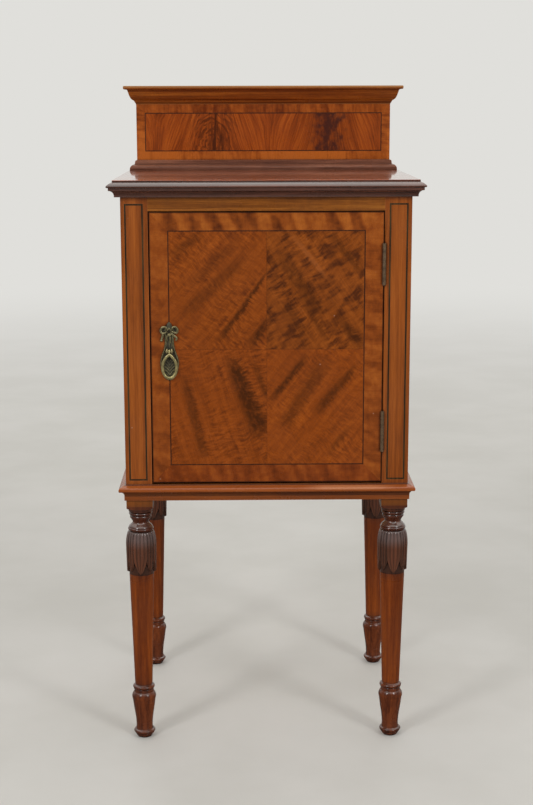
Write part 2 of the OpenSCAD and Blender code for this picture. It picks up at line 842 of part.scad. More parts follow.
module upstand_mould_right() {
    color(dark_mahogany) run_right(upstand_half, y_upstand, y_back, z_top, upstand_mould_over)
        polygon(upstand_mould_section(upstand_mould_over, upstand_mould_h));
}

module stile_stringing() {
    color(line_colour) for (side = [-1, 1]) stile_line_form(side);
}

// ---- Hinges ---------------------------------------------------------------------------------

// Recesses for the hinge leaves between x0 and x1, open to the front
module hinge_recess(x0, x1) {
    for (z0 = hinge_z)
        translate([x0, y_front - big, z0 - hole_fit])
            cube([x1 - x0, pin_y + hinge_leaf_d + hole_fit - y_front + big, hinge_l + 2 * hole_fit]);
}

// One leaf with its knuckles: side 1 is the frame's, side -1 the door's
module hinge_leaf(z0, side, bore_r) {
    step = hinge_l / knuckle_count;
    x = side > 0 ? pin_x + hinge_gap / 2 : pin_x - hinge_gap / 2 - hinge_leaf_t;
    own = side > 0 ? 0 : 1;
    difference() {
        union() {
            translate([x, pin_y, z0]) cube([hinge_leaf_t, hinge_leaf_d, hinge_l]);
            for (i = [own:2:knuckle_count - 1])
                translate([pin_x, pin_y, z0 + i * step]) cylinder(h = step, r = knuckle_r);
        }
        for (i = [1 - own:2:knuckle_count - 1])
            translate([pin_x, pin_y, z0 + i * step - knuckle_gap / 2])
                cylinder(h = step + knuckle_gap, r = knuckle_r + knuckle_gap);
        translate([pin_x, pin_y, z0 - 1]) cylinder(h = hinge_l + 2, r = bore_r);
        hinge_screw_places(side > 0 ? post_in : door_x1, side) small_holes(hinge_screw_l);
    }
}

module hinge_frame_leaves() {
    color(brass) for (z0 = hinge_z) hinge_leaf(z0, 1, hinge_pin_r + pin_fit);
}

module hinge_door_leaves() {
    color(brass) for (z0 = hinge_z) hinge_leaf(z0, -1, hinge_pin_r + running_fit);
}

module hinge_pins() {
    color(brass) for (z0 = hinge_z) translate([pin_x, pin_y, z0]) cylinder(h = hinge_l, r = hinge_pin_r);
}

module hinge_frame_screws() {
    color(brass) hinge_screw_places(post_in, 1) screw(hinge_screw_l, small_shank_r, small_head_r);
}

module hinge_door_screws() {
    color(brass) hinge_screw_places(door_x1, -1) screw(hinge_screw_l, small_shank_r, small_head_r);
}

// ---- Door -----------------------------------------------------------------------------------

// Everything that is let into the door: hinge leaves, the handle's bolt and the catch
module door_cutters() {
    hinge_recess(door_x1 - hinge_leaf_t, door_x1 + 1);
    hinge_screw_places(door_x1, -1) small_holes(hinge_screw_l);
    handle_bolt_hole(bolt_r + 0.2);
    translate([door_x0, catch_y, catch_z]) rotate([0, 90, 0]) {
        translate([0, 0, -1]) cylinder(h = flange_t + 1, r = flange_r + hole_fit);
        cylinder(h = barrel_l + hole_fit, r = barrel_r + hole_fit);
    }
}

module door_board() {
    color(mahogany) difference() {
        translate([door_x0, y_core, door_z0])
            cube([door_x1 - door_x0, door_t - veneer_t, door_z1 - door_z0]);
        door_cutters();
    }
}

// One quarter of the field: side_x and side_z say which
module quarter_veneer(side_x, side_z) {
    inner = band_w + line_w;
    x0 = side_x < 0 ? door_x0 + inner : door_cx;
    x1 = side_x < 0 ? door_cx : door_x1 - inner;
    z0 = side_z < 0 ? door_z0 + inner : door_cz;
    z1 = side_z < 0 ? door_cz : door_z1 - inner;
    color(flame) difference() {
        translate([x0, y_front, z0]) cube([x1 - x0, veneer_t, z1 - z0]);
        door_cutters();
    }
}

module veneer_upper_left() { quarter_veneer(-1, 1); }
module veneer_upper_right() { quarter_veneer(1, 1); }
module veneer_lower_left() { quarter_veneer(-1, -1); }
module veneer_lower_right() { quarter_veneer(1, -1); }

// One mitred strip of the crossbanding, given its four corners in x and z
module crossband(points) {
    color(banding) difference() {
        translate([0, y_core, 0]) rotate([90, 0, 0]) linear_extrude(veneer_t) polygon(points);
        door_cutters();
    }
}

module crossband_top() {
    crossband([[door_x0, door_z1], [door_x1, door_z1],
        [door_x1 - band_w, door_z1 - band_w], [door_x0 + band_w, door_z1 - band_w]]);
}

module crossband_foot() {
    crossband([[door_x0, door_z0], [door_x1, door_z0],
        [door_x1 - band_w, door_z0 + band_w], [door_x0 + band_w, door_z0 + band_w]]);
}

module crossband_left() {
    crossband([[door_x0, door_z0], [door_x0 + band_w, door_z0 + band_w],
        [door_x0 + band_w, door_z1 - band_w], [door_x0, door_z1]]);
}

module crossband_right() {
    crossband([[door_x1, door_z0], [door_x1 - band_w, door_z0 + band_w],
        [door_x1 - band_w, door_z1 - band_w], [door_x1, door_z1]]);
}

module door_stringing() {
    color(line_colour) difference() {
        translate([door_x0 + band_w, y_core, door_z0 + band_w]) rotate([90, 0, 0])
            linear_extrude(veneer_t)
                line_frame(door_x1 - door_x0 - 2 * band_w, door_z1 - door_z0 - 2 * band_w, line_w);
        door_cutters();
    }
}

// ---- Handle ---------------------------------------------------------------------------------

// Handle's own frame: x across, y out of the door, z up, with the origin under the pivot
module at_handle() {
    translate([handle_x, y_front, pivot_z]) mirror([0, 1, 0]) children();
}

// Flat piece of the handle, drawn in x and z, from y0 out to y1
module flat(y0, y1) {
    translate([0, y1, 0]) rotate([90, 0, 0]) linear_extrude(y1 - y0) children();
}

module handle_bolt_hole(r) {
    at_handle() translate([0, bolt_out, bow_z]) rotate([90, 0, 0])
        cylinder(h = bolt_out + door_t + 1, r = r);
}

// Half width of the pear-shaped plate at height z from the pivot
function plate_half(z) = z < plate_wide
    ? plate_w / 2 * sqrt(max(0, 1 - pow((plate_wide - z) / (plate_wide - plate_foot), 2)))
    : z > neck_foot ? neck_half
    : let (fall = 0.5 + 0.5 * cos(180 * (z - plate_wide) / (neck_foot - plate_wide)))
        neck_half + (plate_w / 2 - neck_half) * fall;

function plate_side(n = 28) = concat(
    [for (i = [0:n / 2]) let (z = plate_foot + (plate_wide - plate_foot) * (1 - cos(90 * 2 * i / n)))
        [plate_half(z), z]],
    [for (i = [1:n / 2]) let (z = plate_wide + (neck_foot - plate_wide) * 2 * i / n)
        [plate_half(z), z]],
    [[neck_half, neck_head]]
);

module handle_backplate() {
    side = plate_side();
    color(brass) difference() {
        at_handle() {
            flat(0, plate_t) polygon(concat([[0, plate_foot]], side, mirrored(side)));
            // Bow: two loops, a knot, two tails and a bud above
            for (s = [-1, 1]) {
                translate([s * bow_loop_x, bow_wire_r + 0.2, bow_z + 1]) rotate([90, 0, 0])
                    rotate_extrude() translate([bow_loop_r, 0]) circle(r = bow_wire_r);
                flat(tail_y[0], tail_y[1]) polygon([for (p = tail_outline) [s * p[0], bow_z + p[1]]]);
            }
            translate([0, plate_t, bow_z]) sphere(r = knot_r);
            flat(0, bud_out) polygon([for (p = bud_outline) [p[0], bow_z + p[1]]]);
            // Ears that hold the pivot pin
            for (s = [-1, 1]) translate([s * ear_x, 0, 0]) {
                translate([-ear_t / 2, 0, -ear_r]) cube([ear_t, pivot_out, 2 * ear_r]);
                translate([-ear_t / 2, pivot_out, 0]) rotate([0, 90, 0]) cylinder(h = ear_t, r = ear_r);
            }
        }
        at_handle() translate([-10, pivot_out, 0]) rotate([0, 90, 0])
            cylinder(h = 20, r = handle_pin_r + pin_fit);
        handle_bolt_hole(bolt_r + hole_fit);
        // The back lies flat on the door
        translate([handle_x - big, y_front, pivot_z - 2 * big]) cube([2 * big, big, 4 * big]);
    }
}

module handle_bolt() {
    color(brass) at_handle() {
        translate([0, bolt_out, bow_z]) rotate([90, 0, 0])
            cylinder(h = bolt_out + door_t + bolt_past, r = bolt_r);
        translate([0, bolt_out + bolt_head_h, bow_z]) rotate([90, 0, 0])
            cylinder(h = bolt_head_h, r1 = bolt_head_r * 0.7, r2 = bolt_head_r);
    }
}

// Washer and hexagon nut as one pressed piece on the bolt, inside the door
module handle_nut() {
    color(brass) difference() {
        at_handle() translate([0, -door_t, bow_z]) rotate([90, 0, 0]) {
            cylinder(h = washer_t, r = washer_r);
            translate([0, 0, washer_t]) cylinder(h = nut_h, r = nut_r, $fn = 6);
        }
        at_handle() translate([0, -door_t + 1, bow_z]) rotate([90, 0, 0])
            cylinder(h = washer_t + nut_h + 2, r = bolt_r + hole_fit);
    }
}

module handle_pin() {
    length = 2 * (ear_x + ear_t / 2 + pin_past);
    color(brass) at_handle() translate([-length / 2, pivot_out, 0]) rotate([0, 90, 0])
        cylinder(h = length, r = handle_pin_r);
}

// Oval of half width a and half height b about the ring's middle
module oval(a, b, n = 48) {
    polygon([for (i = [0:n - 1]) [a * cos(360 * i / n), ring_top - drop_h / 2 + b * sin(360 * i / n)]]);
}

module oval_ring(y0, y1, trim) {
    flat(y0, y1) difference() {
        oval(drop_w / 2 - trim, drop_h / 2 - trim);
        oval(drop_w / 2 - drop_bar + trim, drop_h / 2 - drop_bar + trim);
    }
}

module handle_drop() {
    y0 = pivot_out + ring_forward - drop_bar / 2;
    y1 = y0 + drop_bar;
    color(brass) difference() {
        at_handle() {
            translate([-eye_half, pivot_out, 0]) rotate([0, 90, 0]) cylinder(h = 2 * eye_half, r = eye_r);
            flat(y0 + ring_edge, y1 - ring_edge) polygon(stem_outline);
            oval_ring(y0 + ring_edge, y1 - ring_edge, 0);
            oval_ring(y0, y1, ring_edge);
        }
        at_handle() translate([-10, pivot_out, 0]) rotate([0, 90, 0])
            cylinder(h = 20, r = handle_pin_r + running_fit);
    }
}

// ---- Ball catch -----------------------------------------------------------------------------

module at_catch() {
    translate([door_x0, catch_y, catch_z]) rotate([0, 90, 0]) children();
}

module catch_barrel() {
    color(brass) difference() {
        at_catch() {
            cylinder(h = flange_t, r = flange_r);
            cylinder(h = barrel_l, r = barrel_r);
        }
        at_catch() translate([0, 0, -1]) cylinder(h = barrel_l, r = lip_r);
        at_catch() translate([0, 0, lip_t])
            cylinder(h = barrel_l - lip_t - barrel_end_t, r = ball_r + ball_fit);
    }
}

module catch_spring() {
    // The spring meets the ball where the ball is as wide as the spring's bore
    start = ball_x - door_x0 + sqrt(ball_r * ball_r - spring_bore_r * spring_bore_r) + spring_gap;
    color(steel) at_catch() translate([0, 0, start]) difference() {
        cylinder(h = barrel_l - barrel_end_t - start, r = spring_r);
        translate([0, 0, -1]) cylinder(h = barrel_l, r = spring_bore_r);
    }
}

module catch_ball() {
    color(steel) translate([ball_x, catch_y, catch_z]) sphere(r = ball_r);
}

module strike_plate_form(grow = 0) {
    size = strike_size + [0, 2 * grow, 2 * grow];
    translate([-post_in - size[0], catch_y - size[1] / 2, catch_z - size[2] / 2]) cube(size);
}

// Recess for the strike plate, and the pocket behind its dimple
module strike_recess() {
    strike_plate_form(hole_fit);
    translate([-post_in + 1, catch_y, catch_z]) rotate([0, -90, 0])
        cylinder(h = strike_hole_depth + 1, r = strike_pocket_r);
}

module strike_plate() {
    color(brass) difference() {
        strike_plate_form();
        translate([-post_in + 1, catch_y, catch_z]) rotate([0, -90, 0])
            cylinder(h = strike_hole_depth, r = strike_hole_r);
        strike_screw_places() small_holes(strike_screw_l);
    }
}

module strike_screws() {
    color(brass) strike_screw_places() screw(strike_screw_l, small_shank_r, small_head_r);
}

leg_front_left();
leg_front_right();
leg_rear_left();
leg_rear_right();
side_panel_left();
side_panel_right();
top_rail_front();
top_rail_rear();
bottom_rail_front();
bottom_rail_rear();
floor_board();
floor_bearers();
back_panel();
back_screws();
shelf();
shelf_bearers();
door_stops();
top_board();
top_screws();
base_mould_front();
base_mould_left();
base_mould_right();
upstand_board();
upstand_flame_veneer();
upstand_crossbanding();
upstand_stringing();
upstand_screws();
cornice_front();
cornice_left();
cornice_right();
upstand_mould_front();
upstand_mould_left();
upstand_mould_right();
stile_stringing();
hinge_frame_leaves();
hinge_pins();
hinge_frame_screws();
strike_plate();
strike_screws();
door_board();
veneer_upper_left();
veneer_upper_right();
veneer_lower_left();
veneer_lower_right();
crossband_top();
crossband_foot();
crossband_left();
crossband_right();
door_stringing();
hinge_door_leaves();
hinge_door_screws();
handle_backplate();
handle_bolt();
handle_nut();
handle_pin();
catch_barrel();
catch_spring();
handle_drop();
catch_ball();
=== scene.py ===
"""Looks of a bedside pot cupboard: mahogany, quartered veneers, aged brass, and the studio round it.

Lengths are millimetres in the row frame unless a name says otherwise; MM turns them into metres.
Colours are written as they show on a screen, 0 to 255.
"""

import logging
import math
from collections.abc import Sequence
from dataclasses import asdict, dataclass, field
from enum import Enum

import bmesh
import bpy
from mathutils import Matrix, Vector


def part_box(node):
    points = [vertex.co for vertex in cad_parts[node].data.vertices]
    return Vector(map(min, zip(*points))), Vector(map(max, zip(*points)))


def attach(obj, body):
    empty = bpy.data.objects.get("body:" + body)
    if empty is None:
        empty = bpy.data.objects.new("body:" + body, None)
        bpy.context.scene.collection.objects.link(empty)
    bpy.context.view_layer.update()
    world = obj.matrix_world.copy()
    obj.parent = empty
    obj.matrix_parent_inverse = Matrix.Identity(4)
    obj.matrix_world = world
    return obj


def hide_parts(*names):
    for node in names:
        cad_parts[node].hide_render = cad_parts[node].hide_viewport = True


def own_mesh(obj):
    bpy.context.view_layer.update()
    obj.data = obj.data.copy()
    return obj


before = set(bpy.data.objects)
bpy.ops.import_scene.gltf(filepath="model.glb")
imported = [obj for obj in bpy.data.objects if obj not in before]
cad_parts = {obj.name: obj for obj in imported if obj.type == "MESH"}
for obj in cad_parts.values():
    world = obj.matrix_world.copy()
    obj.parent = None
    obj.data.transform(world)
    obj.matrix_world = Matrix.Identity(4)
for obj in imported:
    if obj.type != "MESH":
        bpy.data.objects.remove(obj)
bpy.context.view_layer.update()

log = logging.getLogger("cupboard")
MM = 0.001
NODES: dict[str, bpy.types.Object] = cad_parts

Colour = tuple[float, float, float]
Point = tuple[float, float, float]
Flat = tuple[float, float]
Material = bpy.types.Material
Finishes = dict[str, Material]

VENEER_SPECK: Colour = (190, 160, 140)
VENEER_GLOSS, VENEER_CLOUD, VENEER_SHINE = 0.24, 0.08, 0.2


class Grain(Enum):
    """Way that a board's grain runs, as the order of X, Y and Z that puts it last."""

    ALONG_X = (1, 2, 0)
    ALONG_Y = (0, 2, 1)
    ALONG_Z = (0, 1, 2)


class Body(Enum):
    """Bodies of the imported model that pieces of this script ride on."""

    CARCASS = "carcass"
    DOOR = "door"
    DROP = "handle_drop"


# ---- Small sums -----------------------------------------------------------------------------------


def linear(colour: Sequence[float]) -> tuple[float, ...]:
    """Turns a screen colour into the linear one that a shader takes, with an alpha of 1."""
    parts = [c / 255 for c in colour]
    return (*[p / 12.92 if p <= 0.04045 else ((p + 0.055) / 1.055) ** 2.4 for p in parts], 1.0)


def smooth(value: float, low: float, high: float) -> float:
    """Soft step of a value: 0 up to low, and 1 from high on."""
    t = min(1.0, max(0.0, (value - low) / (high - low)))
    return t * t * (3 - 2 * t)


def turns(count: int) -> list[float]:
    """Angles of a number of points round a circle."""
    return [2 * math.pi * j / count for j in range(count)]


def arc(cx: float, cy: float, radius: float, start: float, end: float, count: int) -> list[Flat]:
    """Points on an arc about (cx, cy), from one angle to another in degrees, in a number of steps."""
    angles = [math.radians(start + (end - start) * i / count) for i in range(count + 1)]
    return [(cx + radius * math.cos(a), cy + radius * math.sin(a)) for a in angles]


def spline(points: Sequence[Sequence[float]], t: float) -> tuple[float, ...]:
    """Point at a share t from the second to the third of four points, on a smooth curve through them all."""
    return tuple(0.5 * (2 * b + (c - a) * t + (2 * a - 5 * b + 4 * c - d) * t * t + (3 * b - a - 3 * c + d) * t ** 3)
                 for a, b, c, d in zip(*points))


def box_mm(node: str) -> tuple[Vector, Vector]:
    """Lowest and highest corner of a CAD node at rest, in millimetres."""
    lo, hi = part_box(node)
    return lo / MM, hi / MM


def middle_mm(node: str) -> Point:
    """Middle of a CAD node's box at rest, in millimetres."""
    return tuple((a + b) / 2 for a, b in zip(*box_mm(node)))


# ---- Shader graphs --------------------------------------------------------------------------------


class Term:
    """A value in a node tree, so that a formula reads as a line of code."""

    def __init__(self, graph: "Graph", socket: bpy.types.NodeSocket) -> None:
        """Keeps the graph, and the socket that gives the value."""
        self.graph, self.socket = graph, socket

    def __getitem__(self, output: str) -> "Term":
        """Another output of the same node."""
        return Term(self.graph, self.socket.node.outputs[output])

    def __abs__(self) -> "Term":
        """The value without its sign."""
        return self.graph.maths("ABSOLUTE", self)

    def __add__(self, other: "Value") -> "Term":
        """Sum with another value."""
        return self.graph.maths("ADD", self, other)

    def __sub__(self, other: "Value") -> "Term":
        """The value less another."""
        return self.graph.maths("SUBTRACT", self, other)

    def __rsub__(self, other: "Value") -> "Term":
        """Another value less this one."""
        return self.graph.maths("SUBTRACT", other, self)

    def __mul__(self, other: "Value") -> "Term":
        """Product with another value."""
        return self.graph.maths("MULTIPLY", self, other)

    def __truediv__(self, other: "Value") -> "Term":
        """The value over another."""
        return self.graph.maths("DIVIDE", self, other)

    def __rtruediv__(self, other: "Value") -> "Term":
        """Another value over this one."""
        return self.graph.maths("DIVIDE", other, self)

    __radd__, __rmul__ = __add__, __mul__

    def step(self, low: "Value", high: "Value", start: "Value" = 0.0, end: "Value" = 1.0) -> "Term":
        """Soft step of the value: start up to low, and end from high on."""
        return self.graph.node("MapRange", (self, low, high, start, end), interpolation_type="SMOOTHSTEP")

    def parts(self) -> list["Term"]:
        """The three values of a vector."""
        return [Term(self.graph, s) for s in self.graph.node("SeparateXYZ", (self,)).socket.node.outputs]

    def scaled(self, factor: "Value") -> "Term":
        """A vector times a factor."""
        return self.graph.node("VectorMath", {0: self, "Scale": factor}, operation="SCALE")


Value = Term | float


def blend(amount: Value, a: Value, b: Value) -> Term:
    """Goes from a to b as amount goes from 0 to 1."""
    return a + amount * (b - a)


class Graph:
    """Adds nodes to one node tree."""

    def __init__(self, tree: bpy.types.NodeTree) -> None:
        """Keeps the tree that the nodes go into."""
        self.tree = tree

    def feed(self, socket: bpy.types.NodeSocket, value: object) -> None:
        """Links a term to a socket, or sets its plain value.

        Args:
            socket: The input.
            value: A term, a number, or a screen colour where the input is a colour.
        """
        if isinstance(value, Term):
            self.tree.links.new(value.socket, socket)
        else:
            socket.default_value = linear(value) if socket.type == "RGBA" else value

    def node(self, kind: str, given: Sequence[object] | dict[int | str, object] = (), output: int | str = 0,
             **settings: object) -> Term:
        """Adds a shader node.

        Args:
            kind: Node type without its ShaderNode prefix.
            given: Its inputs in order, or by number and name.
            output: The output that is wanted.
            settings: Properties to set on it.

        Returns:
            The output.
        """
        node = self.tree.nodes.new("ShaderNode" + kind)
        for name, value in settings.items():
            setattr(node, name, value)
        for key, value in given.items() if isinstance(given, dict) else enumerate(given):
            self.feed(node.inputs[key], value)
        return Term(self, node.outputs[output])

    def maths(self, operation: str, *values: Value) -> Term:
        """Adds a Math node."""
        return self.node("Math", values, operation=operation)

    def vector(self, *values: Value) -> Term:
        """Vector of three values."""
        return self.node("CombineXYZ", values)

    def noise(self, place: Term | Sequence[Value], detail: float = 2.0, rough: float = 0.5, bend: float = 0.0) -> Term:
        """Noise about a half.

        Args:
            place: Where it is read, in units of one feature.
            detail: Number of finer layers.
            rough: Strength of the finer layers.
            bend: Distortion.

        Returns:
            The noise, 0 to 1.
        """
        place = place if isinstance(place, Term) else self.vector(*place)
        return self.node("TexNoise", {"Vector": place, "Scale": 1.0, "Detail": detail, "Roughness": rough,
                                      "Distortion": bend}, "Fac")

    def mix(self, amount: Value, a: object, b: object) -> Term:
        """Mixes two colours: amount 0 gives a, 1 gives b."""
        return self.node("Mix", {0: amount, 6: a, 7: b}, 2, data_type="RGBA")

    def ramp(self, value: Value, colours: Sequence[Colour], margin: float = 0.0) -> Term:
        """Colour ramp.

        Args:
            value: Where to read it, 0 to 1.
            colours: Its colours, evenly spaced.
            margin: How far the first lies above 0, and the last below 1.

        Returns:
            The colour.
        """
        made = self.node("ValToRGB", (value,))
        stops = made.socket.node.color_ramp.elements
        while len(stops) < len(colours):
            stops.new(0.5)
        for i, (stop, colour) in enumerate(zip(stops, colours)):
            stop.position = margin + (1 - 2 * margin) * i / (len(colours) - 1)
            stop.color = linear(colour)
        return made

    def position(self) -> Term:
        """Place on the object at rest, in millimetres."""
        return self.node("TexCoord", (), "Object").scaled(1 / MM)

    def attribute(self, name: str) -> Term:
        """Value that a mesh of this script carries at its points."""
        return self.node("Attribute", (), "Fac", attribute_name=name)

    def use(self, group: bpy.types.NodeTree, **inputs: object) -> Term:
        """Places a shader group, and gives its first output."""
        return self.node("Group", inputs, node_tree=group)


class Effect(Graph):
    """A shader node group while it is built. Its sockets are values, but for the vector Position."""

    def __init__(self, name: str, inputs: str, outputs: str) -> None:
        """Makes the group.

        Args:
            name: Name of the group.
            inputs: Names of its inputs, with blanks between them.
            outputs: Names of its outputs.
        """
        super().__init__(bpy.data.node_groups.new(name, "ShaderNodeTree"))
        for way, names in (("INPUT", inputs), ("OUTPUT", outputs)):
            for text in names.split():
                kind = "NodeSocketVector" if text == "Position" else "NodeSocketFloat"
                self.tree.interface.new_socket(text, in_out=way, socket_type=kind)
        source = self.tree.nodes.new("NodeGroupInput").outputs
        self.given = [Term(self, source[text]) for text in inputs.split()]

    def put(self, **values: Term) -> bpy.types.NodeTree:
        """Links the outputs.

        Args:
            values: What each output gives.

        Returns:
            The finished group.
        """
        results = self.tree.nodes.new("NodeGroupOutput").inputs
        for name, value in values.items():
            self.feed(results[name], value)
        return self.tree


def grain_effect() -> bpy.types.NodeTree:
    """Wood grain with Z along it: broad streaks, fine fibre, and dark pores.

    Returns:
        Group with Streak, Fibre and Pores, each 0 to 1.
    """
    g = Effect("wood_grain", "Position Width Length", "Streak Fibre Pores")
    place, width, length = g.given
    x, y, z = place.parts()
    streak = g.noise((x / width, y / width, z / length), 4.0, 0.6, 0.3)
    fibre = g.noise((x / 1.1, y / 1.1, z / 26.0), 3.0, 0.6)
    pores = g.noise((x / 0.7, y / 0.7, z / 7.0), 1.0)
    return g.put(Streak=streak.step(0.3, 0.7), Fibre=fibre.step(0.3, 0.7), Pores=pores.step(0.58, 0.72))


def ripple_effect() -> bpy.types.NodeTree:
    """Fiddleback: shimmer across the grain, with Z along it.

    Returns:
        Group with Ripple, from -1 to 1, and Patch, which is 1 where the ripple is strong.
    """
    g = Effect("cross_ripple", "Position Period Reach", "Ripple Patch")
    place, period, reach = g.given
    x, y, z = place.parts()
    lean = (g.noise((x / 34.0, 0.0, z / 60.0), 1.0) - 0.5) * 16.0
    ripple = g.noise((x / reach, y / reach, (z + lean) / period), 2.0, 0.55)
    patch = g.noise((x / 38.0, 3.7, z / 60.0))
    return g.put(Ripple=ripple.step(0.3, 0.7, -1.0, 1.0), Patch=patch.step(0.36, 0.62))


def band_effect() -> bpy.types.NodeTree:
    """One dark band of figure, drawn along a line at an angle in degrees, with a combed edge.

    Returns:
        Group with Mask, 0 to 1.
    """
    g = Effect("figure_band", "X Z Ripple Angle Across Start End Width Strength Comb Spread", "Mask")
    x, z, ripple, angle, line, start, end, width, strength, comb, spread = g.given
    turn = angle * math.radians(1)
    cos, sin = g.maths("COSINE", turn), g.maths("SINE", turn)
    along, across = x * cos + z * sin, x * sin - z * cos - line
    across = across + (g.noise((along / 42.0, line, 0.0), 1.0) - 0.5) * 4.0
    width = width * (((along - start) / (end - start) - 0.5) * spread + 1.0)
    side = abs(across + ripple * comb).step(width * 0.25, width * 1.35, 1.0, 0.0)
    ends = along.step(start - 9.0, start + 16.0) * along.step(end - 22.0, end + 9.0, 1.0, 0.0)
    grey = g.noise((along / 6.0, across / 4.5, line)).step(0.3, 0.6, 0.62, 1.0)
    return g.put(Mask=side * ends * grey * strength)


def polish_effect() -> bpy.types.NodeTree:
    """Age on polished wood: clouded patches, pale specks, a crevice mask and an edge mask. The crevice mask comes from
    ambient occlusion and drives painted shade and dirt where pieces meet; the edge mask drives worn polish and painted
    highlights.

    Returns:
        Group with Cloud, Speck, Crevice and Arris, each 0 to 1.
    """
    g = Effect("old_polish", "Position Reach", "Cloud Speck Crevice Arris")
    place, reach = g.given
    cloud = g.noise(place.scaled(1 / 55), 5.0, 0.6)
    cells = g.node("TexVoronoi", {"Vector": place.scaled(1 / 17), "Scale": 1.0})
    speck = cells["Color"].parts()[0].step(0.9, 0.93) * cells["Distance"].step(0.03, 0.06, 1.0, 0.0)
    shade = g.node("AmbientOcclusion", {"Distance": reach * MM}, "AO", samples=6, only_local=False)
    bevel = g.node("Bevel", {"Radius": 0.9 * MM}, samples=4)
    turned = g.node("VectorMath", (bevel, g.node("NewGeometry", (), "Normal")), "Value", operation="DOT_PRODUCT")
    return g.put(Cloud=cloud.step(0.35, 0.65), Speck=speck, Crevice=shade.step(0.35, 0.95, 1.0, 0.0),
                 Arris=turned.step(0.86, 0.99, 1.0, 0.0))


def tarnish_effect() -> bpy.types.NodeTree:
    """Tarnish on old brass: blotches, fine grime, and pits.

    Returns:
        Group with Blotch, Grime and Pits, each 0 to 1.
    """
    g = Effect("tarnish", "Position Size", "Blotch Grime Pits")
    place, size = g.given
    place = place.scaled(1.0 / size)
    blotch, grime, pits = g.noise(place, 4.0, 0.6), g.noise(place.scaled(5.0), 3.0), g.noise(place.scaled(11.0), 1.0)
    return g.put(Blotch=blotch.step(0.38, 0.62), Grime=grime.step(0.4, 0.65), Pits=pits.step(0.6, 0.72))


GRAIN, RIPPLE, BAND = grain_effect(), ripple_effect(), band_effect()
POLISH, TARNISH = polish_effect(), tarnish_effect()


class Surface(Graph):
    """A material while it is built: its place in millimetres, its colour so far, and its shader."""

    def __init__(self, name: str) -> None:
        """Makes a material with a plain Principled shader.

        Args:
            name: Its name.
        """
        self.material = bpy.data.materials.new(name)
        self.material.use_nodes = True
        super().__init__(self.material.node_tree)
        self.shader = self.tree.nodes["Principled BSDF"]
        self.place = self.position()
        self.colour: object = (0, 0, 0)

    def over(self, amount: Value, tint: object) -> None:
        """Lays a tint over the colour so far."""
        self.colour = self.mix(amount, self.colour, tint)

    def finish(self, roughness: Value, height: Term, bump: float, distance: float, **inputs: Value) -> Material:
        """Links the shader.

        Args:
            roughness: Roughness.
            height: Height of the bump, 0 to 1.
            bump: Strength of the bump.
            distance: Depth of the bump in millimetres.
            inputs: More values by the shader's socket names, with _ for a blank.

        Returns:
            The material.
        """
        relief = self.node("Bump", {"Strength": bump, "Distance": distance * MM, "Height": height})
        for name, value in {"Base_Color": self.colour, "Roughness": roughness, "Normal": relief, **inputs}.items():
            self.feed(self.shader.inputs[name.replace("_", " ")], value)
        return self.material

    def veneer(self, grain: Term, polish: Term) -> Material:
        """Ends a veneer with its specks, its pores and its polish."""
        self.over(polish["Speck"] * 0.4, VENEER_SPECK)
        return self.finish(polish["Cloud"] * VENEER_CLOUD + VENEER_GLOSS, grain["Fibre"] * 0.3 - grain["Pores"],
                           0.06, 0.1, Specular_IOR_Level=VENEER_SHINE)


# ---- Finishes -------------------------------------------------------------------------------------


@dataclass(frozen=True)
class Zone:
    """A tint over a range of heights, and over a softly ended range across where it has one."""

    low: float
    high: float
    tint: Colour
    amount: float
    across: Flat | None = None
    soft: float = 0.5

    def mask(self, place: Term) -> Term:
        """Strength of the tint.

        Args:
            place: Place in millimetres.

        Returns:
            The strength, 0 to the zone's amount.
        """
        x, _, z = place.parts()
        level = z.step(self.low - self.soft, self.low + self.soft) * z.step(self.high - 0.5, self.high + 0.5, 1.0, 0.0)
        if self.across:
            left, right = self.across
            level = level * x.step(left - 20, left + 20) * x.step(right - 20, right + 20, 1.0, 0.0)
        return level * self.amount


